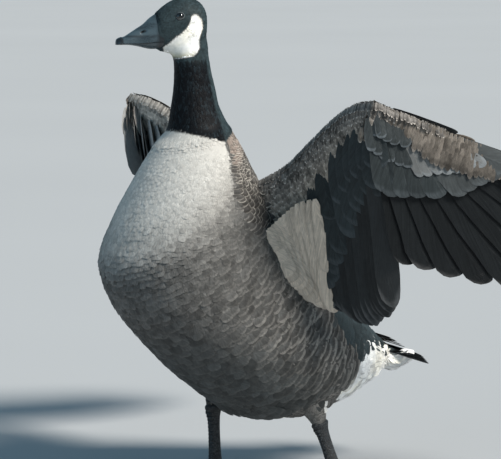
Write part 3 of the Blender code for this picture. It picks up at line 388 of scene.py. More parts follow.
def head_ring(forward, top, bottom, half_width, turns):
    """An oval section of the head, square to its forward line."""
    middle, half = (top + bottom) * 0.5, (top - bottom) * 0.5
    return head_point(forward, half_width * np.sin(turns), middle + half * np.cos(turns))


def flesh_parts():
    """Closed tubes for trunk, neck, head, shanks and wings, which the skin then wraps as one."""
    turns = turns_of(SKIN_SIDES)
    parts = [tube([trunk(p, turns) for p in np.linspace(0.0, THROAT, 110)])]
    throat = trunk(float(THROAT), turns)
    up = unit(np.cross(throat[0] - throat.mean(0), throat[SKIN_SIDES // 4] - throat.mean(0)))
    up = up if up[2] > 0 else -up
    rings = [throat - up * 0.004]
    for rise, share, ahead in THROAT_RINGS:
        rings.append(throat[0] + (throat - throat[0]) * share + up * rise + HEAD_AHEAD * ahead)
    parts.append(tube(rings))
    parts.append(tube([head_ring(*spread(SKULL, p), turns)
                       for p in np.linspace(0.0, len(SKULL) - 1, 40)]))
    for hip, ankle, _, _ in LEGS.values():
        hip, reach = np.array(hip), np.array(ankle) - hip
        parts.append(tube([
            oval(hip + reach * share, unit(reach), RIGHT, radius, radius * SHANK_DEPTH, SHANK_SIDES)
            for share, radius in spread(SHANK_RINGS, np.linspace(0, len(SHANK_RINGS) - 1, 14))]))
    wing = [airfoil_ring(p) for p in np.linspace(0.0, 2.0, 40)]
    return parts + [tube(wing), tube([right_wing(ring) for ring in wing])]


def make_skin(material):
    """The bird's one skin: every fleshy part fused, smoothed, and drawn in by the coat's depth."""
    skin = mesh_object("skin", flesh_parts(), material)
    remesh = skin.modifiers.new("wrap", "REMESH")
    remesh.mode, remesh.voxel_size = "VOXEL", SKIN_VOXEL
    smooth = skin.modifiers.new("ease", "SMOOTH")
    smooth.factor, smooth.iterations = 0.5, 10
    graph = bpy.context.evaluated_depsgraph_get()
    mesh = bpy.data.meshes.new_from_object(skin.evaluated_get(graph))
    skin.modifiers.clear()
    skin.data = mesh
    points = coords(mesh)
    write_coords(mesh, points - normals(mesh) * coat_depth(points)[:, None])
    mesh.update()
    mesh.shade_smooth()
    return skin


def coat_depth(points):
    """How deep the skin lies under the coat: least on the face, most on the body."""
    forward, _, height = head_frame(points)
    aside = np.abs(points[:, 0])
    depth = 0.0035 - 0.0015 * step(0.46, 0.52, points[:, 2]) * step(0.07, 0.05, aside)
    face = step(0.575, 0.595, height) * step(0.07, 0.06, aside)
    depth = depth - 0.0006 * face - 0.0008 * face * step(0.02, 0.045, forward)
    limbs = np.maximum(step(0.105, 0.135, aside), step(0.115, 0.10, points[:, 2])
                       * step(0.14, 0.12, points[:, 1]))
    return depth * (1.0 - 0.6 * limbs)


class Skin:
    """Looks up places on the finished skin."""

    def __init__(self, mesh):
        self.points, self.ups = coords(mesh), normals(mesh)
        mesh.calc_loop_triangles()
        self.faces = read(mesh.loop_triangles, "vertices", kind=np.int32)
        self.tree = BVHTree.FromPolygons(self.points.tolist(), self.faces.tolist())

    def nearest(self, points):
        """Nearest places on the skin, and the smooth normals there."""
        found = [self.tree.find_nearest(p) for p in points.tolist()]
        where = np.array([tuple(f[0]) for f in found])
        corners = self.faces[[f[2] for f in found]]
        near = 1.0 / (np.linalg.norm(self.points[corners] - where[:, None], axis=2) + 1e-5)
        return where, unit((self.ups[corners] * near[..., None]).sum(1))


def vane_faces(rows, columns):
    """Faces of one closed vane: a cambered top, a flat underside and two ends."""
    faces = []
    for r in range(rows - 1):
        here, there = r * columns, (r + 1) * columns
        for c in range(columns - 1):
            faces.append((here + c, here + c + 1, there + c + 1, there + c))
        faces.append((here, there, there + columns - 1, here + columns - 1))
    return faces + [tuple(range(columns - 1, -1, -1)), tuple(range(here + columns, rows * columns))]


def feather_coat(name, material, outline, plumes, columns=3):
    """One joined mesh of closed vanes, each bent over the body, with what its material reads.

    Plumes holds arrays for every feather: root, way, up, length, width, lift, curl, seed, zone,
    bar, spot on the skin's unwrap and, where they are needed, camber, sway and the share of the
    leading side.
    """
    root, up, count = plumes["root"], plumes["up"], len(plumes["root"])

    def each(key, value=0.0):
        """One number of every feather, or the same one for all."""
        return plumes.get(key, np.full(count, value))[:, None]
    t, w = np.array(outline).T
    c = np.linspace(-1.0, 1.0, columns)
    way = unit(plumes["way"] - up * (plumes["way"] * up).sum(1, keepdims=True))
    side = np.cross(way, up)
    length, half = each("length"), each("width")[..., None] * 0.5
    bend = each("lift") * t - each("curl") * t * t
    spine = (root[:, None] + way[:, None] * (length * t)[..., None]
             + up[:, None] * (length * bend)[..., None]
             + side[:, None] * (each("sway") * length * t * t)[..., None])
    lead = each("lead", 0.5) * 2.0
    reach = np.where(c > 0, lead, 2.0 - lead) * c
    uneven = np.random.default_rng(count).uniform(0.96, 1.04, (count, len(t), 1))
    broad = half * w[:, None] * reach[:, None] * uneven
    crown = each("camber", 0.10)[..., None] * (half * w[:, None] * (1.0 - np.abs(c) ** 1.6))
    points = (spine[:, :, None] + side[:, None, None] * broad[..., None]
              + up[:, None, None] * crown[..., None])
    mesh = tiled_mesh(name, points.reshape(-1, 3), vane_faces(len(t), columns), count)
    mesh.materials.append(material)
    shape, per = (count, len(t), columns), len(t) * columns
    level = np.broadcast_to(t[:, None], shape).reshape(-1)
    across = np.broadcast_to(c, shape).reshape(-1)
    write_attribute(mesh, "vane", np.stack([level, across, np.repeat(plumes["seed"], per)], 1))
    for key in ("zone", "bar"):
        write_attribute(mesh, key, np.repeat(plumes[key], per, axis=0))
    spot = np.repeat(plumes["spot"], per, axis=0)
    spot = spot + np.stack([across * 0.5, level - 0.5], 1) * TUFT_PATCH
    index = read(mesh.loops, "vertex_index", 1, np.int32)[:, 0]
    mesh.uv_layers.new(name="OFBake").uv.foreach_set("vector", spot[index].astype("f").ravel())
    return new_object(name, mesh)


def tiled_mesh(name, points, faces, count):
    """A mesh of many copies of one pattern of faces."""
    corners = np.concatenate([np.array(face) for face in faces])
    starts = np.cumsum([0] + [len(face) for face in faces[:-1]])
    tile = np.arange(count)[:, None]
    mesh = bpy.data.meshes.new(name)
    mesh.vertices.add(len(points))
    write_coords(mesh, points)
    for items, key, values in (
            (mesh.loops, "vertex_index", tile * (len(points) // count) + corners),
            (mesh.polygons, "loop_start", tile * len(corners) + starts)):
        items.add(values.size)
        items.foreach_set(key, values.astype(np.int32).ravel())
    mesh.update(calc_edges=True)
    mesh.shade_smooth()
    mesh.set_sharp_from_angle(angle=math.radians(55))
    return mesh


def picked(plumes, keep):
    """The plumes that a mask keeps."""
    return {key: values[keep] for key, values in plumes.items()}


def outside(points, outline):
    """Signed distance of flat points from an outline, negative inside it."""
    outline = np.array(outline)
    best, inside = np.full(len(points), 9.0), np.zeros(len(points), bool)
    for a, b in zip(outline, np.roll(outline, -1, axis=0)):
        line, away = b - a, points - a
        t = np.clip((away @ line) / (line @ line), 0.0, 1.0)
        best = np.minimum(best, np.linalg.norm(away - t[:, None] * line, axis=1))
        crosses = (a[1] > points[:, 1]) != (b[1] > points[:, 1])
        rise = 1e-9 if abs(line[1]) < 1e-9 else line[1]
        inside ^= crosses & (points[:, 0] < a[0] + line[0] * (points[:, 1] - a[1]) / rise)
    return np.where(inside, -best, best)


def from_back(angle):
    """Angles round the trunk, counted both ways from the back."""
    return np.abs((angle + math.pi) % math.tau - math.pi)


def marked(values, place):
    """A marking's value by place on the trunk."""
    return spread(values, np.clip(place - FIRST_MARK, 0, 13))


def markings(points, place, angle, ragged=0.0):
    """Zone triples (black, white, tone) and bar strength at places on the bird."""
    back, height = from_back(angle), points[:, 2]
    edge = back - marked(BACK_EDGE, place) + ragged * 12
    tone = marked(BREAST_TONE_AND_SHADE, place) + 0.04 * step(2.2, 1.5, back) * step(13, 10, place)
    # Painted shade: the underside behind the breast is made darker.
    tone = tone + 0.22 * step(1.5, 2.4, back) * step(11.5, 9.5, place)
    bar = marked(BAR_STRENGTH, place) * (1.0 - 0.70 * step(1.7, 2.4, back))
    dark = step(0.10, -0.10, edge)
    tone = tone + (1.0 + 0.5 * step(11.6, 12.6, place) - tone) * dark
    bar = bar + (0.9 - bar) * dark
    # On the head the tone rises, turning its black to the face's painted sheen and the white low on
    # the cheek to cream with painted shade.
    tone = np.maximum(tone, step(0.555, 0.600, height))
    low = NECK_LOW + 0.45 * np.maximum(points[:, 1] + 0.0729, 0.0)
    collar = height - np.maximum(NECK_EDGE - NECK_FALL * (points[:, 1] + 0.1269), low)
    rump = step(6.9, 6.2, place + ragged * 60) * (1.0 - step(-0.05, 0.05, edge))
    # Painted shade: low on the belly the colour is drawn towards black.
    painted_belly_shade = step(0.27, 0.14, height) * step(1.5, 2.3, back)
    black = np.maximum(step(-0.0010, 0.0010, collar + ragged), 0.90 * rump)
    black = np.maximum(black, 0.52 * painted_belly_shade)
    vent = step(-0.05, 0.05, back - np.interp(place, VENT_PLACES, VENT_EDGE) + ragged * 20)
    behind = step(5.16, 5.04, place + ragged * 40) * step(-0.05, 0.05, back - 1.50)
    white = np.maximum(vent * step(6.7, 6.5, place), behind)
    black, tone = black * (1.0 - white), np.maximum(tone, white)
    forward, _, up = head_frame(points)
    cheek = outside(np.stack([forward, up], 1), CHEEK)
    cheek = step(0.0009, -0.0009, cheek + ragged * 0.35) * step(0.56, 0.565, height)
    white, black = np.maximum(white, cheek), black * (1.0 - cheek)
    return np.stack([black, white, tone], 1), bar * (1.0 - black) * (1.0 - white)


class TrunkMap:
    """Finds the trunk's own place and angle for points near it."""

    def __init__(self):
        places, angles = np.meshgrid(np.linspace(0, THROAT, 161), turns_of(96), indexing="ij")
        self.places, self.angles = places.ravel(), angles.ravel()
        grid = trunk(self.places, self.angles)
        self.tree = KDTree(len(grid))
        for i, point in enumerate(grid):
            self.tree.insert(point, i)
        self.tree.balance()

    def find(self, points):
        """Place and angle on the trunk nearest to each point."""
        near = np.array([self.tree.find(p)[1] for p in points])
        return self.places[near], self.angles[near]


def row_places(angle, first, last, coarse):
    """Places of rows along one line of the trunk, a row's step apart."""
    fine = np.linspace(first, last, 1200)
    run = np.linalg.norm(np.diff(trunk(fine, angle), axis=0), axis=1)
    run = np.concatenate([[0.0], np.cumsum(run / (spread(ROW_STEP, fine[1:]) * coarse))])
    return np.interp(np.arange(int(run[-1])) + 0.5, run, fine)


def trunk_rows(rng, first, last, coarse, apart):
    """Places and angles of feathers in staggered rows round the trunk."""
    places, angles = [], []
    for i, place in enumerate(row_places(math.radians(100), first, last, coarse)):
        ring = trunk(place, np.linspace(0, math.tau, 200))
        length = np.linalg.norm(np.diff(ring, axis=0), axis=1).sum()
        count = max(8, int(length / (spread(ROW_STEP, place) * coarse * apart)))
        turn = turns_of(count, 0.5 * (i % 2))
        angles.append(turn + rng.uniform(-0.22, 0.22, count) * math.tau / count)
        places.append(np.full(count, place))
    place = np.concatenate(places)
    return place + rng.uniform(-0.5, 0.5, len(place)) * 0.055, np.concatenate(angles)


def trunk_plumes(rng, skin, first, last, on_back=False):
    """Plumes of body and neck, set on the skin, with their markings."""
    coarse, apart = (0.90, 1.9) if on_back else (1.0, 0.92)
    place, angle = trunk_rows(rng, first, last, coarse, apart)
    shoulder = (from_back(angle) < marked(BACK_EDGE, place) + 0.02) & (place > 6.0) & (place < 13.4)
    place, angle = place[shoulder == on_back], angle[shoulder == on_back]
    lie = trunk(place - 0.05, angle) - trunk(place + 0.05, angle)
    root, up = skin.nearest(trunk(place, angle))
    n, way, back = len(root), unit(lie), from_back(angle)
    pitch = spread(ROW_STEP, place) * coarse
    tail, neck = step(3.4, 2.6, place), step(14.5, 16.0, place)
    over = 1.0 - 0.35 * step(2.3, 2.7, back) * step(6.8, 6.2, place)
    flank = step(8.5, 6.5, place) * step(2.6, 2.0, back)
    breadth = 3.0 if on_back else FEATHER_BREADTH + 0.7 * flank
    breadth = breadth - 0.5 * step(11.0, 13.0, place) + 0.5 * neck
    legs = np.min([np.linalg.norm(root - (np.array(hip) + (np.array(ankle) - hip) * 0.6), axis=1)
                   for hip, ankle, _, _ in LEGS.values()], axis=0)
    over = over * (1.0 - 0.5 * step(0.050, 0.030, legs)) * (1.0 - 0.35 * tail)
    length = pitch * FEATHER_REACH * over * rng.uniform(0.90, 1.10, n)
    seen = place - 0.72 * length / np.maximum(np.linalg.norm(lie, axis=1) / 0.1, 1e-4)
    zone, bar = markings(trunk(seen, angle), seen, angle,
                         rng.normal(0.0, 0.0011, n) * (1.0 - 0.4 * neck))
    side = np.cross(way, up)
    way = unit(way + side * rng.normal(0.0, 0.04 if on_back else 0.075, n)[:, None])
    if on_back:
        up = unit(up + side * (SHINGLE * np.sign(np.sin(angle)))[:, None])
    way = unit(way + (np.array([0.0, 0.94, -0.34]) - way) * tail[:, None] * 0.8)
    lift = 0.19 - 0.03 * neck - 0.12 * tail - 0.05 * zone[:, 1] * (1 - tail)
    return {
        "root": root - up * (0.0006 + 0.0006 * (1 - neck))[:, None], "way": way, "up": up,
        "length": length * (1.0 + 0.3 * neck),
        "width": pitch * (breadth - 0.85 * neck) * over * rng.uniform(0.92, 1.08, n),
        "lift": lift + rng.normal(0.0, 0.012, n),
        "curl": 0.10 - 0.06 * on_back - 0.02 * neck + rng.normal(0.0, 0.010, n),
        "seed": rng.random(n), "zone": zone, "bar": bar,
        "camber": np.full(n, 0.12 if on_back else 0.08) + 0.12 * neck,
        "spot": 0.01 + 0.98 * np.stack([angle / math.tau % 1.0, place / THROAT], 1)}


def scattered(rng, skin):
    """Points spread evenly over the skin of the head."""
    corners = skin.points[skin.faces]
    middle = corners.mean(1)
    area = np.linalg.norm(np.cross(corners[:, 1] - corners[:, 0], corners[:, 2] - corners[:, 0]),
                          axis=1) * 0.5
    pool = np.flatnonzero((middle[:, 2] > HEAD_COAT_LOW) & (np.abs(middle[:, 0]) < 0.07)
                          & (middle[:, 1] < -0.04))
    whole = area[pool].sum()
    count = int(whole / HEAD_GAP[0] ** 2 * 3.2)
    tri = corners[pool[rng.choice(len(pool), count, p=area[pool] / whole)]]
    a, b = rng.random((2, count))
    flip = a + b > 1.0
    a, b = np.where(flip, 1 - a, a)[:, None], np.where(flip, 1 - b, b)[:, None]
    return tri[:, 0] + (tri[:, 1] - tri[:, 0]) * a + (tri[:, 2] - tri[:, 0]) * b


def head_plumes(rng, skin):
    """Small plumes of the head and throat, scattered evenly over the skin."""
    points = scattered(rng, skin)
    forward, _, height = head_frame(points)
    gap = HEAD_GAP[0] + (HEAD_GAP[1] - HEAD_GAP[0]) * np.maximum(step(0.035, -0.015, forward),
                                                                 step(0.60, 0.57, height))
    points, gap = thinned(points, gap)
    root, up = skin.nearest(points)
    forward, _, height = head_frame(root)
    eye = np.hypot(forward - EYE_FORWARD, height - EYE_HEIGHT)
    keep = (eye > EYE_BARE) & (forward < np.interp(height, *BILL_EDGE))
    root, up, gap, eye = root[keep], up[keep], gap[keep], eye[keep, None]
    forward, side, height = head_frame(root)
    n = len(root)
    down = np.clip(step(0.020, -0.022, forward) * 0.8 + step(0.600, 0.572, height) * 0.75
                   + 0.16 * step(0.035, 0.0, forward), 0.0, 1.0)[:, None]
    axis = unit(trunk(18.0, math.pi) - trunk(20.0, math.pi))
    way = unit(-HEAD_AHEAD * (1.0 - down) + axis * down)
    around = np.stack([forward - EYE_FORWARD, height - EYE_HEIGHT], 1)
    push = step(0.012, 0.005, eye) * 0.7
    way = unit(way + push * (HEAD_AHEAD * around[:, :1] + UP * around[:, 1:]) / eye)
    tips = unit(way - up * (way * up).sum(1, keepdims=True)) * (gap * HEAD_REACH * 0.75)[:, None]
    zone, bar = markings(root + tips, np.full(n, float(THROAT)), np.zeros(n),
                         rng.normal(0.0, 0.0006, n))
    way = unit(way + np.cross(way, up) * rng.normal(0.0, 0.06, n)[:, None])
    turn = np.arctan2(side, height - 0.615) / math.tau + 0.5
    return {
        "root": root - up * 0.0003, "way": way, "up": up,
        "length": gap * HEAD_REACH * rng.uniform(0.9, 1.1, n),
        "width": gap * 2.1 * rng.uniform(0.92, 1.08, n),
        "lift": 0.11 - 0.05 * zone[:, 1] + rng.normal(0, 0.005, n), "curl": np.full(n, 0.05),
        "seed": rng.random(n), "zone": zone, "bar": bar * 0.0,
        "spot": np.stack([0.01 + 0.98 * turn, 0.02 + 0.96 * (forward + 0.05) / 0.12], 1)}


def thinned(points, gap):
    """Keep points that stand at least a gap apart."""
    grid, kept = {}, []
    for i, cell in enumerate(np.floor(points / gap.max()).astype(int).tolist()):
        near = [j for key in product(*((v - 1, v, v + 1) for v in cell)) for j in grid.get(key, ())]
        if not near or (((points[near] - points[i]) ** 2).sum(1) >= gap[i] * gap[i]).all():
            grid.setdefault(tuple(cell), []).append(i)
            kept.append(i)
    return points[kept], gap[kept]


class Nodes:
    """Short ways to place and link the nodes of one tree."""

    def __init__(self, tree):
        self.tree = tree

    def socket(self, way, kind, label, value=None):
        """A named number, colour or vector socket of a group."""
        kinds = {"n": "NodeSocketFloat", "c": "NodeSocketColor", "v": "NodeSocketVector"}
        made = self.tree.interface.new_socket(label, in_out=way, socket_type=kinds[kind])
        if value is not None:
            made.default_value = value

    def add(self, kind, settings=(), **inputs):
        """A node with its settings and inputs, each a value or another node's output."""
        made = self.tree.nodes.new(kind)
        for key, value in dict(settings).items():
            setattr(made, key, value)
        for key, value in inputs.items():
            self.feed(made, key, value)
        return made

    def feed(self, node, key, value):
        """Set or link one input, named with underscores for spaces or by its number."""
        socket = node.inputs[int(key[1:])] if key[0] == "_" else node.inputs[key.replace("_", " ")]
        if isinstance(value, bpy.types.NodeSocket):
            self.tree.links.new(value, socket)
        else:
            socket.default_value = value

    def give(self, kind="n", **values):
        """Put out a group's results under their names."""
        for key in values:
            self.socket("OUTPUT", kind, key)
        self.add("NodeGroupOutput", (), **values)

    def shade(self, **inputs):
        """Set or link inputs of the material's shader."""
        for key, value in inputs.items():
            self.feed(self.tree.nodes["Principled BSDF"], key, value)

    def math(self, operation, a, b=0.0, c=0.0):
        """One Math node."""
        return self.add("ShaderNodeMath", {"operation": operation}, _0=a, _1=b, _2=c).outputs[0]

    def times(self, a, b, plus=0.0):
        """A product, with a number added to it where one is given."""
        return self.math("MULTIPLY_ADD", a, b, plus)

    def minus(self, a, b=0.5):
        """A difference."""
        return self.math("SUBTRACT", a, b)

    def ramp(self, value, low, high, out_low=0.0, out_high=1.0):
        """A smooth change between two values."""
        return self.add("ShaderNodeMapRange", {"interpolation_type": "SMOOTHSTEP"}, Value=value,
                        _1=low, _2=high, _3=out_low, _4=out_high).outputs[0]

    def mix(self, share, a, b, blend="MIX"):
        """A mix of two colours."""
        a, b = (v if isinstance(v, bpy.types.NodeSocket) else (*v, 1.0) for v in (a, b))
        return self.add("ShaderNodeMix", {"data_type": "RGBA", "blend_type": blend}, _0=share,
                        _6=a, _7=b).outputs[2]

    def lit(self, colour, light, share=1.0):
        """A colour made brighter or darker by a number."""
        grey = self.add("ShaderNodeCombineColor", Red=light, Green=light, Blue=light).outputs[0]
        return self.mix(share, colour, grey, "MULTIPLY")

    def place(self, scale=(1.0, 1.0, 1.0)):
        """The object's own space, drawn out by a scale."""
        place = self.add("ShaderNodeTexCoord").outputs["Object"]
        return self.add("ShaderNodeVectorMath", {"operation": "MULTIPLY"}, _0=place,
                        _1=scale).outputs[0]

    def noise(self, scale, detail=2.0, vector=None, rough=0.5):
        """Noise in the object's own space, or in the space of a vector."""
        return self.add("ShaderNodeTexNoise", Scale=scale, Detail=detail, Roughness=rough,
                        Vector=vector or self.place()).outputs["Fac"]

    def attribute(self, name, output="Vector"):
        """A value stored on the mesh."""
        return self.add("ShaderNodeAttribute", {"attribute_name": name}).outputs[output]

    def split(self, vector):
        """The three numbers of a vector."""
        return self.add("ShaderNodeSeparateXYZ", Vector=vector).outputs

    def bump(self, height, strength, distance):
        """A normal from a height."""
        return self.add("ShaderNodeBump", Height=height, Strength=strength,
                        Distance=distance).outputs[0]

    def use(self, tree, **inputs):
        """One of the shared groups, placed in a material."""
        return self.add("ShaderNodeGroup", {"node_tree": tree}, **inputs).outputs


def group(name, *inputs):
    """A shader node group with named sockets: its nodes and what it is given."""
    n = Nodes(bpy.data.node_groups.new(name, "ShaderNodeTree"))
    for one in inputs:
        n.socket("INPUT", *one)
    return n, n.add("NodeGroupInput").outputs


def barb_group():
    """Barbs and shaft of one vane: a height for bumps, and masks for shaft and rim."""
    n, given = group("feather_barbs", ("v", "Vane"), ("n", "Count", 60.0), ("n", "Slant", 0.6))
    level, across, seed = n.split(given["Vane"])
    side = n.math("ABSOLUTE", across)
    slanted = n.times(side, n.times(given["Slant"], -1.0), level)

    def strands(count, broad, turn, detail, rough):
        """Noise drawn out along the barbs, different on every feather."""
        spot = n.add("ShaderNodeCombineXYZ", X=n.times(slanted, count), Y=n.times(across, broad),
                     Z=n.times(seed, turn)).outputs[0]
        return n.noise(1.0, detail, spot, rough)
    locks = strands(n.times(given["Count"], 0.16), 1.1, 91.0, 1.0, 0.5)
    streak = n.times(n.minus(locks), 0.9, strands(given["Count"], 1.5, 37.0, 2.0, 0.6))
    wave = n.math("SINE", n.times(slanted, n.times(given["Count"], 3.1)))
    shaft = n.ramp(side, 0.10, 0.03)
    rim = n.math("MAXIMUM", n.ramp(side, 0.72, 1.0), n.ramp(level, 0.90, 1.0))
    n.give(Height=n.times(wave, 0.22, n.times(shaft, 0.9, streak)), Shaft=shaft, Rim=rim,
           Streak=streak)
    return n.tree


def band_group():
    """Bars across a vane: a pale rim at its tip and a dark band before it."""
    n, given = group("feather_bands", ("v", "Vane"), ("n", "Tip", 0.82), ("n", "Width", 0.10))
    level, across, seed = n.split(given["Vane"])
    level = n.times(n.minus(seed), 0.05, n.times(n.times(across, across), 0.11, level))
    start = n.minus(level, given["Tip"])
    pale = n.ramp(start, 0.0, 0.08)
    dark = n.ramp(n.math("ADD", start, given["Width"]), -0.10, 0.05)
    n.give(Pale=pale, Dark=n.times(dark, n.minus(1.0, pale)))
    return n.tree


def tint_group():
    """Slow changes of brightness over the bird, and from feather to feather."""
    n, given = group("plumage_tint", ("c", "Color", (0.5, 0.5, 0.5, 1.0)), ("n", "Seed", 0.5),
                     ("n", "Amount", 0.2))
    slow = n.times(n.minus(n.noise(120.0, 2.0)), 1.3, n.minus(n.noise(22.0, 3.0)))
    change = n.times(n.math("ADD", slow, n.minus(given["Seed"])), given["Amount"], 1.0)
    n.give("c", Color=n.lit(given["Color"], change))
    return n.tree


def horn_group():
    """Fine growth lines, pits and worn patches of horn and bare skin."""
    n, given = group("horn_wear", ("n", "Scale", 60.0), ("n", "Pits", 0.5))
    lines = n.noise(given["Scale"], 4.0, n.place((1.0, 0.35, 2.4)))
    n.give(Height=n.times(n.noise(900.0), given["Pits"], lines),
           Wear=n.ramp(n.noise(130.0, 5.0, rough=0.7), 0.52, 0.72))
    return n.tree


BARBS, BANDS, TINT, HORN = barb_group(), band_group(), tint_group(), horn_group()

# Painted sheen: the face's black is lighter and bluer than the neck's, and the black carries
# blue-grey sheen strands. Painted shade: the cream low on the cheek is darker than the rest of the
# white.
BLACK, WHITE, CREAM = (0.0040, 0.0046, 0.0058), (0.90, 0.90, 0.89), (0.86, 0.83, 0.74)
FACE_BLACK_SHEEN, BLACK_SHEEN, CREAM_AND_SHADE = (0.027, 0.040, 0.044), (0.026, 0.044, 0.054), (0.36, 0.335, 0.23)
BREAST, FLANK, BACK = (0.61, 0.59, 0.55), (0.115, 0.113, 0.108), (0.095, 0.088, 0.082)
PALE_TIP, BACK_TIP, TAN = (0.27, 0.252, 0.23), (0.46, 0.43, 0.38), (0.30, 0.245, 0.21)


def new_material(name):
    """An empty Principled material and its nodes."""
    made = bpy.data.materials.new(name)
    made.use_nodes = True
    return made, Nodes(made.node_tree)


def coat_material(name, roughness=0.75, count=46.0, bump=0.5, distance=0.0006, gloss=0.12):
    """Plumage of head, neck and body, coloured by the zones stored on skin and feathers."""
    made, n = new_material(name)
    vane, bar = n.attribute("vane"), n.attribute("bar", "Fac")
    black, white, tone = n.split(n.attribute("zone"))
    seed = n.split(vane)[2]
    barbs = n.use(BARBS, Vane=vane, Count=count)
    bands = n.use(BANDS, Vane=vane, Tip=n.ramp(tone, 0.62, 1.0, 0.84, 0.91), Width=0.12)
    dorsal = n.ramp(tone, 0.62, 1.0)
    ground = n.mix(dorsal, n.mix(n.ramp(tone, 0.0, 0.55), BREAST, FLANK), BACK)
    ground = n.mix(n.ramp(tone, 1.05, 1.5), ground, TAN)
    shade = n.mix(n.times(n.times(bands["Dark"], bar), 0.55), ground, (0.035, 0.030, 0.027))
    rim = n.math("MAXIMUM", bands["Pale"], n.times(barbs["Rim"], n.ramp(tone, 0.75, 1.0)))
    barred = n.mix(n.times(n.times(rim, bar), 0.80), shade, n.mix(dorsal, PALE_TIP, BACK_TIP))
    barred = n.lit(barred, n.ramp(barbs["Streak"], 0.20, 0.80, 0.66, 1.26), 0.8)
    snow = n.mix(n.ramp(n.noise(30.0), 0.35, 0.75), WHITE, CREAM)
    # Low on the cheek the white darkens to cream, partly its own cream colour and partly painted
    # shade.
    snow = n.mix(n.ramp(tone, 0.35, 0.95), CREAM_AND_SHADE, snow)
    # Painted sheen: blue-grey strands over the black.
    sheen_strand = n.times(n.ramp(barbs["Streak"], 0.42, 0.80), n.ramp(seed, 0.35, 1.0))
    night = n.mix(n.times(sheen_strand, 0.9), n.mix(tone, BLACK, FACE_BLACK_SHEEN), BLACK_SHEEN)
    tinted = n.use(TINT, Color=n.mix(black, n.mix(white, barred, snow), night), Seed=seed,
                   Amount=n.ramp(tone, 0.10, 0.50, 0.20, 0.55))["Color"]
    n.shade(Base_Color=tinted, Roughness=n.ramp(black, 0.0, 1.0, roughness, 0.50),
            Specular_IOR_Level=gloss, Normal=n.bump(barbs["Height"], bump, distance))
    return made


def vane_material(name, ground, edge, tip, roughness=0.5, count=150.0, tip_start=0.90, bar=0.0,
                  sides=0.0, vary=0.35):
    """Large vanes: coverts, flight and tail feathers, with shaft, barbs and edges."""
    made, n = new_material(name)
    vane = n.attribute("vane")
    dark, pale, tone = n.split(n.attribute("zone"))
    barbs = n.use(BARBS, Vane=vane, Count=count, Slant=0.35)
    bands = n.use(BANDS, Vane=vane, Tip=tip_start, Width=0.22)
    rim = n.math("MAXIMUM", n.times(barbs["Rim"], sides), bands["Pale"])
    colour = n.mix(n.times(rim, n.attribute("bar", "Fac")), n.mix(tone, ground, edge), tip)
    colour = n.mix(n.times(bands["Dark"], bar), colour, (0.015, 0.014, 0.013))
    colour = n.mix(n.times(barbs["Shaft"], 0.12), colour, edge)
    colour = n.lit(colour, n.ramp(barbs["Streak"], 0.25, 0.75, 0.74, 1.22), 0.9)
    colour = n.mix(pale, n.mix(dark, colour, (0.020, 0.018, 0.016)), WHITE)
    tinted = n.use(TINT, Color=colour, Seed=n.split(vane)[2], Amount=vary)["Color"]
    rough = n.ramp(barbs["Streak"], 0.2, 0.8, roughness - 0.06, roughness + 0.10)
    n.shade(Base_Color=tinted, Roughness=rough, Specular_IOR_Level=0.16,
            Normal=n.bump(barbs["Height"], 0.5, 0.0005))
    return made


def horn_material(name, colour, wear_and_sheen, roughness, scale=60.0, bump=0.25, coat=0.0):
    """Bill, claws and lids."""
    made, n = new_material(name)
    horn = n.use(HORN, Scale=scale, Pits=0.4)
    # On the bill the blue-grey patches are painted sheen over black horn; on claws and lids the
    # lighter patches are wear.
    sheen_patch = n.times(n.attribute("shade", "Fac"), n.ramp(horn["Height"], 0.45, 0.85, 0.35, 1.0))
    tone = n.mix(n.math("MAXIMUM", n.times(horn["Wear"], 0.35), sheen_patch), colour, wear_and_sheen)
    n.shade(Base_Color=n.use(TINT, Color=tone, Seed=0.5, Amount=0.25)["Color"],
            Roughness=n.ramp(horn["Height"], 0.3, 1.1, roughness - 0.07, roughness + 0.1),
            Coat_Weight=coat, Coat_Roughness=0.25, Normal=n.bump(horn["Height"], bump, 0.0004))
    return made


def leg_material(name):
    """Bare leg skin: small scales with dark seams, and dull worn tops."""
    made, n = new_material(name)
    place = n.place((1.0, 1.0, 0.72))
    edge, cell = (n.add("ShaderNodeTexVoronoi", {"feature": feature}, Vector=place,
                        Scale=420.0).outputs[output]
                  for feature, output in (("DISTANCE_TO_EDGE", "Distance"), ("F1", "Color")))
    plate = n.ramp(edge, 0.02, 0.22)
    horn = n.use(HORN, Scale=90.0, Pits=0.3)
    top = n.mix(n.split(cell)[0], (0.016, 0.019, 0.022), (0.036, 0.041, 0.045))
    tone = n.mix(plate, (0.005, 0.006, 0.007), top)
    tone = n.mix(n.times(horn["Wear"], 0.35), tone, (0.085, 0.095, 0.100))
    n.shade(Base_Color=tone, Roughness=n.ramp(plate, 0.0, 1.0, 0.65, 0.42),
            Normal=n.bump(n.times(horn["Height"], 0.25, plate), 0.7, 0.0006))
    return made


def eye_material(name):
    """A dark brown iris round a black pupil, under a clear wet surface."""
    made, n = new_material(name)
    ring = n.split(n.attribute("iris"))[0]
    iris = n.mix(n.noise(14.0, 3.0, n.attribute("iris")), (0.0015, 0.0012, 0.0010),
                 (0.0040, 0.0030, 0.0024))
    colour = n.mix(n.ramp(ring, 0.46, 0.52), (0.0008, 0.0008, 0.0010), iris)
    colour = n.mix(n.ramp(ring, 0.86, 1.0), colour, (0.003, 0.002, 0.002))
    n.shade(Base_Color=colour, Roughness=0.06, Coat_Weight=1.0, Coat_Roughness=0.02, Coat_IOR=1.38)
    return made


def floor_material(name):
    """A plain pale studio floor."""
    made, n = new_material(name)
    n.shade(Base_Color=n.mix(n.noise(0.6), (0.43, 0.44, 0.45), (0.46, 0.47, 0.48)), Roughness=0.9,
            Specular_IOR_Level=0.1)
    return made


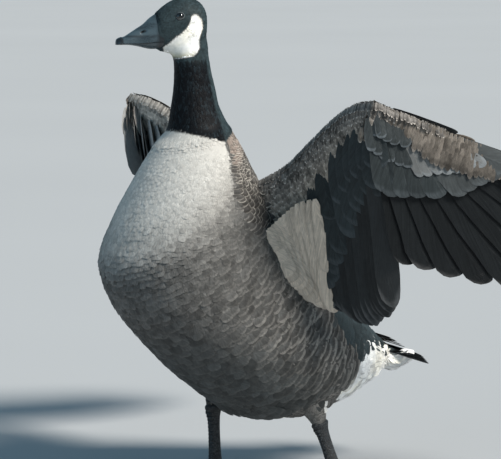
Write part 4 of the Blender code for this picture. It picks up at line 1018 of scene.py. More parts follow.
def eye_place(sign):
    """Where an eye breaks the head's surface, and the way it looks."""
    _, top, low, half = (np.interp(EYE_FORWARD, np.array(SKULL)[:, 0], line)
                         for line in np.transpose(SKULL))
    rise = (2.0 * EYE_HEIGHT - top - low) / (top - low)
    spot = head_point(EYE_FORWARD, sign * half * math.sqrt(1.0 - rise * rise), EYE_HEIGHT)
    return spot, unit(HEAD_AHEAD * EYE_WAY[0] + HEAD_LEFT * (sign * EYE_WAY[1]) + UP * EYE_WAY[2])


def make_eye(side, sign, material):
    """An eyeball with a slightly raised cornea, and the iris rings that its material reads."""
    spot, way = eye_place(sign)
    rings, values, turns = [], [], turns_of(48)
    for tilt in np.linspace(0.02, math.pi - 0.02, 34):
        cornea = 1.0 + CORNEA_RISE * step(math.radians(44), 0.0, tilt)
        wide = EYE_RADIUS * math.sin(tilt)
        rings.append(oval(spot + way * (EYE_RADIUS * cornea * math.cos(tilt) - EYE_DEPTH), -way,
                          np.cross(way, UP), wide, wide, len(turns)))
        fibres = 0.5 + 0.5 * np.array([np.cos(turns * 9.0), np.sin(turns * 7.0)])
        values.append(np.stack([np.full(len(turns), min(tilt / IRIS_ANGLE, 1.5)), *fibres], 1))
    obj = mesh_object("eyeball_" + side, [tube(rings)], material, 80)
    write_attribute(obj.data, "iris", np.concatenate(values))
    finish_piece(obj, "eye", "eye_" + side)


def make_lids(material):
    """The rims of skin round the eyes, with small folds, set down on the head."""
    parts, count, sides = [], 56, 10
    faces = [(k * sides + j, k * sides + (j + 1) % sides,
              (k + 1) % count * sides + (j + 1) % sides, (k + 1) % count * sides + j)
             for k, j in product(range(count), range(sides))]
    turn = turns_of(sides)[:, None]
    for sign, (ring, grow, lift) in product((1.0, -1.0), ((0, 1.0, -0.0002), (1, 1.17, -0.0006))):
        spot, way = eye_place(sign)
        ahead = unit(HEAD_AHEAD - way * (HEAD_AHEAD @ way))
        level = unit(np.cross(way, ahead)) * sign
        opening, thick, verts = LID_OPENING * grow, LID_WIDTH * 0.55, []
        for angle in turns_of(count):
            c, s = math.cos(angle), math.sin(angle)
            point = spot + ahead * (opening * 1.10 * c) + level * (opening * 0.93 * s)
            point = point + way * (lift - (0.0013 if c > 0 else 0.0008) * c * c)
            fold = 1.0 + 0.12 * math.sin(angle * 11 + ring * 2)
            verts.append(point + (ahead * c + level * s) * (thick * fold * np.cos(turn))
                         + way * (thick * 0.9 * np.sin(turn)))
        parts.append((np.concatenate(verts), faces))
    finish_piece(mesh_object("eyelids", parts, material, 80), "black_plumage")


def bill_share(forward):
    """Share of the bill's length."""
    return (forward - BILL[0][0]) / (BILL[-1][0] - BILL[0][0])


def bill_half(upper):
    """Rings of the upper or lower bill from its slanted root to its nail."""
    rings, turns = [], np.linspace(0.0, math.pi, 41)
    flat, high = np.abs(np.cos(turns)), np.sin(turns)
    for p in (*np.linspace(-1.0, 0.0, 14, endpoint=False), *np.linspace(0.0, len(BILL) - 1, 70)):
        behind = max(-p, 0.0)
        forward, culmen, chin, half = spread(BILL, max(p, 0.0))
        share = bill_share(forward)
        mouth = MOUTH_HEIGHT - MOUTH_DIP * (math.sin(math.pi * share) + share)
        if upper:
            edge = mouth + 0.0003 - 0.0026 * step(0.90, 0.975, share)
            nail = step(0.835, 0.865, share) * step(0.80, 0.62, flat)
            rise = (culmen - edge) * high ** 0.80 + 0.0007 * nail
            waist = step(0.15, 0.35, share) * step(1.0, 0.55, share)
            side = half * np.cos(turns) * (1.0 + 0.150 * behind)
            side = side * (1.0 - 0.10 * waist * np.sin(turns * 2) ** 2)
            side = side * (1.0 + 0.045 * step(0.16, 0.02, high) * step(0.05, 0.2, share))
            back = flat ** 1.3
        elif forward > LOWER_BILL_END:
            break
        else:
            edge = mouth - 0.0003
            rise = (chin - edge) * high ** (0.80 - 0.12 * step(0.25, 0.0, share))
            side = half * LOWER_BILL_SHARE * np.cos(turns) * (1.0 + 0.26 * behind)
            side = side * (1.0 - 0.05 * step(0.10, 0.5, high) * step(0.9, 0.6, share))
            back = flat ** 2.5
        rings.append(head_point(forward - BILL_SLANT * behind * back, side, edge + rise))
    return rings


def from_nostril(forward, height):
    """Distance from the middle of the nostril, 1 at its rim."""
    ahead = forward - NOSTRIL[0]
    return np.hypot(ahead / NOSTRIL_SIZE[0], (height - NOSTRIL[1] + 0.30 * ahead) / NOSTRIL_SIZE[1])


def carved_nostrils(points):
    """Press the two nostrils into the upper bill."""
    forward, side, height = head_frame(points)
    far = from_nostril(forward, height)
    shift = 0.00025 * np.exp(-((far - 1.35) / 0.30) ** 2) - 0.0021 * step(1.15, 0.55, far)
    return points + HEAD_LEFT * (np.sign(side) * (np.abs(side) > 0.004) * shift)[:, None]


def bill_sheen(points):
    """How far the horn gets blue-grey painted sheen: not on the nail, in the nostrils or below
    them.
    """
    forward, _, height = head_frame(points)
    share, pit = bill_share(forward), from_nostril(forward, height)
    below = 1.0 - 0.75 * np.exp(-((height - NOSTRIL[1] + 0.0062) / 0.0016) ** 2)
    return step(0.86, 0.80, share) * step(0.6, 1.3, pit) * step(-0.1, 0.02, share) * below


def make_bill(material):
    """Both halves of the bill, with nail, lip and nostrils."""
    for name, node, wear_and_sheen in (("bill_top", "bill_upper", 1.0), ("bill_bottom", "bill_lower", 0.8)):
        upper = name == "bill_top"
        points, faces = tube(bill_half(upper))
        points = carved_nostrils(points) if upper else points
        made = mesh_object(name, [(points, faces)], material, 50)
        # Painted sheen: blue-grey patches on the bill, weaker on its lower half.
        write_attribute(made.data, "shade", bill_sheen(points) * wear_and_sheen)
        finish_piece(made, "bill", node)


def at_share(rings, share):
    """A smooth reading of a table whose first column is a share."""
    return spread(rings, np.interp(share, [ring[0] for ring in rings], range(len(rings))))


def make_leg(side, sign, leather, horn):
    """The bare leg and webbed foot of one side, with its scutes, and its claws apart."""
    hip, ankle, foot = (np.array(point) for point in LEGS[side][:3])
    turn = math.radians(LEGS[side][3])
    down, thigh, reach = unit(foot - ankle), unit(ankle - hip), np.linalg.norm(foot - ankle)
    rings = [oval(hip + (ankle - hip) * 0.90, thigh, RIGHT, ANKLE_RADIUS * 0.90,
                  ANKLE_RADIUS * 1.05, LEG_SIDES),
             oval(ankle - thigh * 0.004, unit(thigh + down), RIGHT, ANKLE_RADIUS * 1.02,
                  ANKLE_RADIUS * 1.22, LEG_SIDES)]
    for share, swell in spread(TARSUS_RINGS, np.linspace(0.0, len(TARSUS_RINGS) - 1, 46)):
        rings.append(oval(ankle + down * (reach * share), down, RIGHT, TARSUS_RADIUS * swell,
                          TARSUS_RADIUS * swell * TARSUS_DEPTH, LEG_SIDES))
    middle = rings[-1].mean(0)
    sole = middle + (rings[-1] - middle) * 0.9
    sole[:, 2] = SOLE_HEIGHT
    parts = [tube([*rings, sole]), *leg_scutes(ankle, down, reach)]
    heel = np.array([foot[0], foot[1] + 0.002, 0.0])
    claws, tips = [], []
    for splay, length, radius in TOES:
        way = turn + sign * splay
        ahead = np.array([math.sin(way), -math.cos(way), 0.0])
        parts += [tube(toe_rings(heel, ahead, length, radius)),
                  *toe_scutes(heel, ahead, length, radius)]
        claws.append(claw(heel + ahead * (length * 0.985), ahead, radius * 0.50, CLAW_LENGTH,
                          0.0036))
        tips.append(heel + ahead * (length * 0.94))
    parts.append(foot_web(heel, tips))
    back = np.array([-math.sin(turn), math.cos(turn), 0.0])
    root = heel + UP * 0.0125
    parts.append(tube([oval(root + back * r - UP * (r * 0.25), back, UP, w, w, CLAW_SIDES)
                       for r, w in HIND_TOE]))
    claws.append(claw(root + back * 0.0170 - UP * 0.0044, back, 0.0019, 0.0080, 0.0))
    finish_piece(mesh_object("leg_" + side, parts, leather, 60), "leg_skin", "tarsus_" + side,
                 "foot_" + side)
    finish_piece(mesh_object("claws_" + side, claws, horn, 50), "leg_skin")


def toe_rings(heel, ahead, length, radius):
    """Rings of a toe with its joints, flat where it rests on the ground."""
    rings, turns, across = [], turns_of(TOE_SIDES, 0.5), np.cross(ahead, UP)
    for share, swell, height in spread(TOE_RINGS, np.linspace(0.0, len(TOE_RINGS) - 1, 50)):
        ring = heel + ahead * (length * share) + across * (radius * swell * np.cos(turns))[:, None]
        ring[:, 2] = np.maximum(0.0004, height * 0.5 + height * 0.60 * np.sin(turns))
        rings.append(ring)
    return rings


def toe_scutes(heel, ahead, length, radius):
    """Overlapping plates along the top of a toe."""
    parts, turns, across = [], np.linspace(0.30, math.pi - 0.30, 9), np.cross(ahead, UP)
    for share in np.linspace(0.10, 0.94, int(length / 0.0034)):
        _, swell, height = at_share(TOE_RINGS, share)
        rings = []
        for run, lift in ((0.0, -0.0006), (0.0010, 0.00035), (0.0034, 0.0006), (0.0040, -0.0004)):
            top = (heel + ahead * (length * share + run)
                   + across * ((radius * swell + lift) * np.cos(turns))[:, None])
            top[:, 2] = height * 0.5 + (height * 0.60 + lift) * np.sin(turns)
            rings.append(np.concatenate([top, top[::-1] - UP * 0.0012]))
        parts.append(tube(rings))
    return parts


def leg_scutes(ankle, down, reach):
    """Two rows of plates down the front of the bare leg."""
    parts, front = [], unit(np.cross(down, RIGHT))
    front = front if front[1] < 0 else -front
    across = unit(np.cross(front, down))
    for share, way in product(np.linspace(0.10, 0.96, 15), (-1.0, 1.0)):
        wide = TARSUS_RADIUS * at_share(TARSUS_RINGS, share)[1]
        turns, rings = np.linspace(0.02, 0.95, 7) * way, []
        for run, lift in ((0.0, -0.0006), (0.0008, 0.0003), (0.0038, 0.0005), (0.0045, -0.0006)):
            centre = ankle + down * (reach * share + run + 0.002 * (way > 0))
            rings.append(np.concatenate([
                centre + across * ((wide + rise) * np.sin(turn))[:, None]
                + front * ((wide * TARSUS_DEPTH + rise) * np.cos(turn))[:, None]
                for turn, rise in ((turns, lift), (turns[::-1], -0.0012))]))
        parts.append(tube(rings))
    return parts


def claw(root, ahead, radius, length, height):
    """A short curved claw."""
    rings = []
    for share in np.linspace(0.0, 1.0, 9):
        size = radius * (1.0 - share) ** 0.7 + 0.00015
        drop = -(share ** 2) * (root[2] + height * 0.5) * 0.9 + height * 0.5 * (1 - share)
        centre = root + ahead * (length * share) + UP * drop
        centre[2] = max(centre[2], size + 0.0003)
        rings.append(oval(centre, ahead, UP, size * 1.15, size * 0.85, CLAW_SIDES))
    return tube(rings)


def foot_web(heel, tips):
    """The web between the toes: a thin sheet, sagging between them, with a drawn-in edge."""
    top, faces, rows, spans = [], [], 12, 14
    for (first, second), i in product(zip(tips[:-1], tips[1:]), range(spans + 1)):
        sag = math.sin(math.pi * i / spans)
        line = first + (second - first) * (i / spans) - heel
        for v in 0.12 + (0.88 - 0.17 * sag) * np.arange(rows + 1) / rows:
            crease = 0.0007 * math.sin(v * 46.0) * step(0.15, 0.4, v)
            point = heel + line * v
            point[2] = 0.0042 * (1 - v) + 0.0022 + sag * (crease - 0.0010)
            top.append(point)
    low = np.array(top) * (1.0, 1.0, 0.0) + UP * SOLE_HEIGHT
    count, across = len(top), rows + 1
    for s in range(len(tips) - 1):
        first = s * (spans + 1) * across
        for i, j in product(range(spans), range(rows)):
            a, b = first + i * across + j, first + (i + 1) * across + j
            faces += [(a, b, b + 1, a + 1), (a + count, a + 1 + count, b + 1 + count, b + count)]
        for i, j in product(range(spans), (0, rows)):
            a, b = first + i * across + j, first + (i + 1) * across + j
            faces.append((a, b, b + count, a + count))
        for j, i in product(range(rows), (0, spans)):
            a = first + i * across + j
            faces.append((a, a + 1, a + 1 + count, a + count))
    return np.concatenate([top, low]), faces


def wing_lie(place):
    """The way feathers lie at a place along the wing: chordwise, then fanned over the hand."""
    if place <= 1.0:
        return wing_frame(place)[1]
    share = (place - 1.0 - PRIMARY_START) / (PRIMARY_END - PRIMARY_START)
    return primary_way(min(max(share, 0.0), 1.0))


def tilted(up, way, angle):
    """An upright turned about a feather's way, towards its leading side."""
    up = unit(up - way * (up @ way))
    return up * math.cos(angle) + np.cross(way, up) * math.sin(angle)


class Plumes:
    """Collects feathers one by one and hands them over as arrays."""

    def __init__(self, rng):
        self.rng, self.rows = rng, []

    def add(self, root, way, up, length, lead, trail, **more):
        """One feather, its leading and trailing reach given apart."""
        usual = {"lift": 0.0, "curl": 0.0, "camber": 0.10, "zone": (0, 0, 0), "bar": 1.0,
                 "sway": 0.0}
        self.rows.append({**usual, "root": root, "way": way, "up": up, "length": length,
                          "width": lead + trail, "lead": lead / (lead + trail),
                          "seed": self.rng.random(), **more})

    def arrays(self):
        """All feathers as arrays."""
        return {key: np.array([row[key] for row in self.rows], float) for key in self.rows[0]}


# Rows of coverts under and over the wing: count, first and last place, distance of the roots and
# of the tips from the front edge, width, rise off the middle plane, tilt, zone and bar
UNDER_ROWS = (
    (11, 0.20, 0.97, (0.060, 0.056, 0.046, 0.036), (0.175, 0.172, 0.150, 0.122), 0.040,
     (0.0078, 0.0070), -0.14, (0, 0, 0.10), 0.25),
    (11, 0.16, 0.98, (0.052, 0.046, 0.038, 0.030), (0.118, 0.118, 0.106, 0.090), 0.034, 0.0112,
     -0.14, (0, 0, 0.05), 0.30),
    (5, 1.12, 1.50, 0.018, (0.122, 0.126), 0.038, 0.0105, -0.12, (0, 0, 0.1), 0.3),
    (5, 1.60, 1.96, 0.014, (0.128, 0.118), 0.032, 0.0105, -0.12, (0, 0.02, 0.5), 0.3),
    (6, 1.02, 1.40, 0.022, (0.068, 0.076), 0.020, 0.0104, -0.12, (0, 0, 0.3), 1.6),
    (5, 1.00, 1.36, 0.012, (0.044, 0.048), 0.017, 0.0114, -0.12, (0, 0, 0.6), 1.8),
    (8, 1.42, 1.92, 0.018, (0.092, 0.090), 0.017, 0.0115, -0.12, (0, 0.12, 1.0), 1.6))
OVER_ROWS = (
    (16, 0.24, 0.97, (0.062, 0.058, 0.048, 0.036), (0.158, 0.158, 0.140, 0.112), 0.030,
     (0.0080, 0.0066), -0.10, (0, 0, 0), 1.0),
    (18, 0.18, 0.99, (0.050, 0.046, 0.036, 0.026), (0.098, 0.098, 0.088, 0.070), 0.024, 0.0112,
     -0.10, (0, 0, 0), 1.0),
    (10, 1.18, 1.97, (0.019, 0.012), (0.110, 0.108), (0.030, 0.020), 0.0078, -0.10, (0, 0, 0), 0.6),
    (12, 1.04, 1.97, (0.022, 0.010), (0.072, 0.064), 0.020, 0.0098, -0.10, (0, 0, 0), 0.8))
COVERT_SINK, SMALL_SINK = 0.0016, 0.0013
SMALL_SIZE, SMALL_START, SMALL_END, SMALL_EDGE = (0.0046, 0.0098), 0.0008, 0.062, 0.80
# Rows under the hand: distance from its front edge, length, gap, first and last place, black, bar
HAND_ROWS = (
    (0.025, 0.024, 0.0066, 1.76, 2.7, 0.65, 0.4), (0.017, 0.025, 0.0062, 1.62, 2.9, 0.55, 0.5),
    (0.009, 0.025, 0.0060, 1.46, 3.0, 0.50, 0.5), (0.002, 0.020, 0.0056, 1.20, 3.1, 0.35, 0.6))
# Rows of armpit feathers: count, where they start and end between root and tip, width
PIT_ROWS = ((12, 0.0, 1.0, 0.0260), (11, -0.10, 0.62, 0.0230), (12, -0.13, 0.34, 0.0190),
            (13, -0.18, 0.17, 0.0140))


def covert_row(plumes, side, row):
    """A row of coverts above (1) or below (-1) the wing, its sizes changing along it."""
    rng, (count, first, last, *sizes, tilt, zone, bar) = plumes.rng, row
    for i in range(count):
        share = i / (count - 1)
        place = first + (last - first) * share + rng.uniform(-0.12, 0.12) * (last - first) / count
        away, reach, wide, rise = (float(along(v, share)) if np.ndim(v) else v for v in sizes)
        front, chord, up, depth, _ = wing_frame(place)
        root = airfoil(place, min(away / depth, 1.0), side, COVERT_SINK)
        root = root + chord * max(away - depth, 0.0)
        tip = front + chord * away + up * (side * rise)
        tip = tip + wing_lie(place) * (reach - away) * rng.uniform(0.97, 1.03)
        way = unit(tip - root)
        spot = (0.02 + 0.48 * place, 0.5 + side * (0.02 + 0.46 * min(away / 0.13, 1.0)))
        plumes.add(root, way, tilted(up * side, way, tilt), np.linalg.norm(tip - root),
                   *(wide * 0.45, wide * 0.55)[::side], zone=zone, bar=bar, spot=spot)


def small_coverts(plumes, side, first_tone, last_tone):
    """Rows of small feathers from the wing's front edge to a share of its fleshy depth."""
    rng, places = plumes.rng, np.linspace(0.0, 2.0, 801)
    line = np.array([wing_frame(p)[0] for p in places])
    length = np.concatenate([[0.0], np.cumsum(np.linalg.norm(np.diff(line, axis=0), axis=1))])
    run, row = SMALL_START, 0
    while run < SMALL_END:
        inner = min(run / 0.052, 1.0)
        size = SMALL_SIZE[0] + (SMALL_SIZE[1] - SMALL_SIZE[0]) * inner
        gap = 0.0031 + 0.0044 * inner ** 1.3
        spots = np.arange(int(length[-1] / gap)) * gap + 0.5 * gap * (row % 2)
        for place in np.interp(spots + rng.uniform(-0.25, 0.25, len(spots)) * gap, length, places):
            place = min(max(place, 0.0), 1.99)
            _, chord, up, depth, _ = wing_frame(place)
            away = max(run + rng.uniform(-0.22, 0.22) * size, 0.0006)
            if away > depth * SMALL_EDGE:
                continue
            across = away / depth
            root, ahead, back = (airfoil(place, min(max(across + more, 0.0), 1.0), side, SMALL_SINK)
                                 for more in (0.0, 0.06, -0.03))
            slope = unit(ahead - back)
            out = np.cross(slope, unit(wing_frame(min(place + 0.02, 2.0))[0]
                                       - wing_frame(max(place - 0.02, 0.0))[0])) * side
            out = unit(out if out @ up * side > -0.2 else -out)
            lie = wing_lie(place)
            way = unit(slope + (lie - chord * (lie @ chord)) * step(0.0, 0.5, across))
            way = unit(way + np.cross(way, out) * rng.normal(0.0, 0.05))
            wide = gap * rng.uniform(1.30, 1.55)
            tone = first_tone + (last_tone - first_tone) * min(away / 0.045, 1.0)
            plumes.add(root, way, out, size * rng.uniform(2.3, 2.9), wide * 0.5, wide * 0.5,
                       lift=0.14, curl=0.10, camber=0.30, zone=(0, 0, tone),
                       bar=rng.uniform(0.5, 1.0),
                       spot=(0.02 + 0.48 * place, 0.5 + side * (0.02 + 0.46 * away / 0.13)))
        run, row = run + size, row + 1


def flight_feathers(plumes):
    """Secondaries of the arm and primaries of the hand, in the wing's middle plane."""
    rng = plumes.rng
    for i in range(SECONDARIES):
        place = 0.245 + (0.965 - 0.245) * i / (SECONDARIES - 1)
        front, chord, up, depth, _ = wing_frame(place)
        quill = along(WING_TIPS, place) - (front + chord * (depth * 0.60))
        way = unit(quill)
        # Painted light: the secondaries are made paler than the primaries, to make up for the shade
        # they lie in.
        plumes.add(front + chord * (depth * 0.60), way, tilted(up, way, -math.radians(10)),
                   np.linalg.norm(quill) * rng.uniform(0.985, 1.02), 0.0115, 0.0220, curl=0.02,
                   sway=-0.015, spot=(0.02 + 0.48 * place, 0.55), zone=(0, 0.012, 1))
    for i in range(PRIMARIES):
        share = i / (PRIMARIES - 1)
        out = PRIMARY_START + (PRIMARY_END - PRIMARY_START) * share
        root = WRIST + HAND_WAY * (HAND_LENGTH * out) + HAND_CHORD * (along(HAND_WIDTH, out) * 0.5)
        way = primary_way(share)
        plumes.add(root, way, tilted(HAND_UP, way, -math.radians(9)),
                   along(PRIMARY_LENGTHS, share) * rng.uniform(0.99, 1.01), 0.013 - 0.005 * share,
                   0.034 - 0.009 * share if i else 0.026, curl=0.06, bar=0.5,
                   spot=(0.5 + 0.48 * out, 0.55))


def tertials(plumes):
    """Long inner feathers between the secondaries and the back."""
    for i in range(TERTIALS):
        place = 0.06 + 0.15 * i / (TERTIALS - 1)
        front, chord, up, depth, _ = wing_frame(place)
        root = front + chord * (depth * 0.62) + up * 0.004
        way = unit(along(WING_TIPS, place) - root)
        plumes.add(root, way, tilted(up, way, -math.radians(8)), 0.085 + 0.014 * i, 0.012, 0.017,
                   curl=0.03, spot=(0.02 + 0.48 * place, 0.60), zone=(0, 0, 0.5))


def axillaries(plumes):
    """The long smooth feathers of the armpit, between the flank and the wing."""
    rng, face = plumes.rng, unit((0.86, -0.48, 0.14))
    for row, (count, start, reach, wide) in enumerate(PIT_ROWS):
        for i in range(count):
            share = (i + 0.5 * (row == 1)) / (count - 0.5)
            root, tip = along(PIT_ROOTS, share), along(PIT_TIPS, share)
            begin = root + (tip - root) * start + face * (0.0010 * row)
            end = root + (tip - root) * reach + face * (0.004 * (1 - row * 0.3) + 0.0010 * row)
            way = unit(end - begin)
            plumes.add(begin, way, tilted(face, way, math.radians(4)),
                       np.linalg.norm(end - begin) * rng.uniform(0.96, 1.03), wide * 0.5,
                       wide * 0.5, curl=0.012, lift=0.012, camber=0.08,
                       spot=(0.05 + 0.4 * share, 0.30 - 0.1 * row),
                       zone=(0, 0, rng.uniform(0.3, 0.8)), bar=0.35)


def hand_rows(plumes):
    """Narrow feathers under the hand, lying chordwise in rows from its front edge inwards."""
    rng = plumes.rng
    for away, length, gap, first, last, shade, bar in HAND_ROWS:
        for place in np.arange(first, last, gap / HAND_LENGTH):
            place += rng.uniform(-0.2, 0.2) * gap / HAND_LENGTH
            start = away * (1.0 - 0.25 * step(2.0, 2.8, place)) * rng.uniform(0.9, 1.1)
            root = (WRIST + HAND_WAY * (HAND_LENGTH * (place - 1.0)) + HAND_CHORD * start
                    - HAND_UP * min(0.0035 + 0.30 * start, 0.0112))
            way = unit(HAND_CHORD + HAND_WAY * rng.normal(0.30, 0.05)
                       - HAND_UP * (0.13 - 2.2 * start))
            plumes.add(root, way, tilted(-HAND_UP, way, -0.08), length * rng.uniform(0.88, 1.10),
                       gap * 0.75, gap * 0.75, lift=0.05, curl=0.04, camber=0.25,
                       zone=(shade, 0, 0.4), bar=bar * rng.uniform(0.7, 1.3),
                       spot=(min(0.5 + 0.24 * (place - 1.0), 0.98), 0.46 - 3.0 * away))


def wing_groups(rng):
    """Every tract of the left wing: flight feathers, coverts above and below, small ones."""
    flight, under, over, small_under, small_over, pit = (Plumes(rng) for _ in range(6))
    flight_feathers(flight)
    tertials(flight)
    for row in UNDER_ROWS:
        covert_row(under, -1, row)
    for row in OVER_ROWS:
        covert_row(over, 1, row)
    for i, (length, wide) in enumerate(((0.100, 0.008), (0.076, 0.008), (0.050, 0.007))):
        root = (WRIST + HAND_WAY * 0.030 + HAND_CHORD * (0.001 + 0.001 * i)
                + HAND_UP * (0.0006 + 0.0010 * i))
        way = unit(HAND_WAY + HAND_UP * 0.03 - HAND_CHORD * 0.012)
        flight.add(root, way, tilted(HAND_UP, way, 0.0), length, wide * 0.35, wide * 0.65,
                   spot=(0.52, 0.53), bar=0.2)
    # Painted shade: under the wing the small coverts are darker towards the front edge, and tan
    # further in.
    small_coverts(small_under, -1, 1.0, 0.0)
    small_coverts(small_over, 1, 0.5, 0.8)
    hand_rows(small_under)
    axillaries(pit)
    return {"flight": flight, "under": under, "over": over, "small_under": small_under,
            "small_over": small_over, "armpit": pit}


def on_right_wing(key, left, rng):
    """The right wing's feathers from the left wing's, mirrored, its coverts broader and paler, the
    paleness painted sunlight on the far wing.
    """
    ways = {name: right_wing(left[name], True) for name in ("way", "up")}
    right = {**left, **ways, "root": right_wing(left["root"]), "lead": 1.0 - left["lead"],
             "sway": -left["sway"]}
    if key == "small_under":
        # Painted sunlight: the far wing's small under coverts are made plain tan and paler, with
        # weaker bars.
        right["zone"], right["bar"] = right["zone"] * 0.0 + (0, 0.10, 0), right["bar"] * 0.4
        right = picked(right, right["lift"] > 0.06)
        right["lift"], right["camber"] = right["lift"] * 0.7, right["camber"] * 0.5
        right["width"] = right["width"] * 1.4
        right["way"] = right["way"] + rng.normal(0.0, 0.14, right["way"].shape)
    if key == "over":
        right["root"] = right["root"] + right["up"] * 0.005
    if key in ("over", "under"):
        # Painted sunlight: the far wing's coverts are drawn towards white.
        white, broader = (0.16, 1.5) if key == "over" else (0.30, 1.8)
        right["zone"], right["width"] = right["zone"] + (0, white, 0), right["width"] * broader
    if key == "flight":
        right = picked(right, right["width"] > 0.009)
    return right


def make_wings(rng):
    """Both wings' feathers over the skin."""
    plumage = "wing_plumage"
    looks = {
        "flight": ("flight_feathers", FLIGHT_VANE, 7, vane_material(
            "flight_vanes", (0.007, 0.0085, 0.0095), (0.014, 0.016, 0.017), (0.075, 0.075, 0.075),
            0.45, tip_start=0.965)),
        "under": (plumage, ROUND_VANE, 5, vane_material(
            "under_coverts", (0.024, 0.030, 0.032), (0.060, 0.068, 0.070), (0.10, 0.115, 0.125),
            0.55, 110.0, sides=0.15)),
        "over": (plumage, ROUND_VANE, 5, vane_material(
            "upper_coverts", (0.060, 0.050, 0.043), (0.085, 0.072, 0.060), (0.34, 0.29, 0.24),
            0.55, 110.0, sides=0.8)),
        "armpit": (plumage, FLIGHT_VANE, 5, vane_material(
            "armpit_feathers", (0.56, 0.475, 0.39), (0.68, 0.58, 0.475), (0.36, 0.32, 0.28), 0.6,
            130.0, sides=0.6, tip_start=0.97, vary=0.3)),
        "small_under": (plumage, SMALL_COVERT, 3, vane_material(
            "small_under_coverts", (0.34, 0.29, 0.24), (0.165, 0.155, 0.145), (0.46, 0.42, 0.38),
            0.65, 60.0, tip_start=0.88, sides=0.8, bar=0.3, vary=0.9)),
        "small_over": (plumage, SMALL_COVERT, 3, vane_material(
            "small_upper_coverts", (0.17, 0.145, 0.125), (0.13, 0.11, 0.095), (0.50, 0.45, 0.39),
            0.65, 60.0, tip_start=0.84, sides=0.6, bar=0.5, vary=0.9))}
    for key, plumes in wing_groups(rng).items():
        slot, outline, columns, material = looks[key]
        left = plumes.arrays()
        for side, feathers in (("_left", left), ("_right", on_right_wing(key, left, rng))):
            finish_piece(feather_coat(key + side, material, outline, feathers, columns), slot)


def make_tail(material, rng):
    """Tail feathers in a closed fan, with dark coverts above their roots and white ones below."""
    plumes = Plumes(rng)
    line = np.array([0.0, math.cos(TAIL_SLOPE), math.sin(TAIL_SLOPE)])
    up = np.array([0.0, -math.sin(TAIL_SLOPE), math.cos(TAIL_SLOPE)])
    for i in range(TAIL_FEATHERS):
        rank, sign = (i + 1) // 2, (1.0 if i % 2 else -1.0)
        turn = sign * TAIL_SPREAD * rank / (TAIL_FEATHERS // 2)
        root = TAIL_ROOT + up * (0.0055 - 0.0007 * i) + RIGHT * (sign * 0.0026 * rank)
        plumes.add(root, unit(line * math.cos(turn) + RIGHT * math.sin(turn)), up,
                   TAIL_LENGTH * (1.0 - 0.012 * rank) * rng.uniform(0.985, 1.01), 0.0115, 0.0115,
                   curl=0.03, spot=(0.5 + 0.05 * sign * rank, 0.3), bar=0.0)
    for _ in range(24):
        side, ahead = rng.uniform(-0.7, 0.7), rng.uniform(0.0, 1.0)
        root = np.array([0.026 * side, 0.192 + 0.030 * ahead,
                         0.1890 - 0.0165 * ahead - 0.010 * side ** 2])
        plumes.add(root, unit(line + np.array([0.18 * side, 0.0, -0.10])), up,
                   0.034 - 0.006 * ahead, 0.0075, 0.0075, curl=0.03, spot=(0.5 + 0.4 * side, 0.5),
                   bar=0.0)
    for _ in range(80):
        side, ahead = rng.uniform(-1.0, 1.0), rng.uniform(0.0, 1.0)
        root = np.array([0.022 * side, 0.208 + 0.028 * ahead,
                         0.1375 + 0.0100 * ahead + 0.011 * side ** 2])
        way = unit(np.array([0.22 * side, 1.0, 0.10 - 0.04 * ahead - 0.34 * side ** 2]))
        out = unit(-up * (1.1 - abs(side)) + np.array([1.4 * side, 0.0, 0.2]))
        plumes.add(root, way, out, 0.030 - 0.006 * ahead * abs(side), 0.0060, 0.0060, curl=0.02,
                   spot=(0.5 + 0.4 * side, 0.2), bar=0.0, zone=(0, 1, 0))
    finish_piece(feather_coat("tail_fan", material, FLIGHT_VANE, plumes.arrays(), 7),
                 "tail_feathers")


def shank_plumes(plumes, ground):
    """Short feathers down the thighs to the bare legs."""
    rng = plumes.rng
    for hip, ankle, _, _ in LEGS.values():
        hip, thigh = np.array(hip), np.array(ankle) - hip
        way, reach = unit(thigh), np.linalg.norm(thigh)
        share, row = 0.16, 0
        while share < 1.0:
            radius = float(np.interp(share, *np.transpose(SHANK_RINGS)))
            size = 0.0042 + 0.0030 * step(0.030, 0.010, 0.040 - radius)
            ring = oval(hip + thigh * share, way, RIGHT, radius, radius * SHANK_DEPTH,
                        int(math.tau * radius / (size * 0.9)))
            ring = ring + (np.roll(ring, -1, axis=0) - ring) * (0.5 * (row % 2))
            for root, up in zip(*ground.nearest(ring)):
                lie = unit(way + np.cross(way, up) * rng.normal(0.0, 0.06))
                plumes.add(root - up * 0.0006, lie, up, size * rng.uniform(2.6, 3.0), size * 0.9,
                           size * 0.9, lift=0.17, curl=0.11, camber=0.22, zone=(0, 0.0, 0.46),
                           bar=0.6, spot=(0.5 + 0.3 * np.sign(hip[0]), 0.1 + 0.8 * share))
            share, row = share + size / reach, row + 1


def aimed(name, data, way, distance):
    """A camera or lamp that looks at the bird."""
    made = new_object(name, data)
    made.location = AIM + SHIFT + unit(way) * distance
    made.rotation_euler = Vector(unit(way)).to_track_quat("Z", "Y").to_euler()
    return made


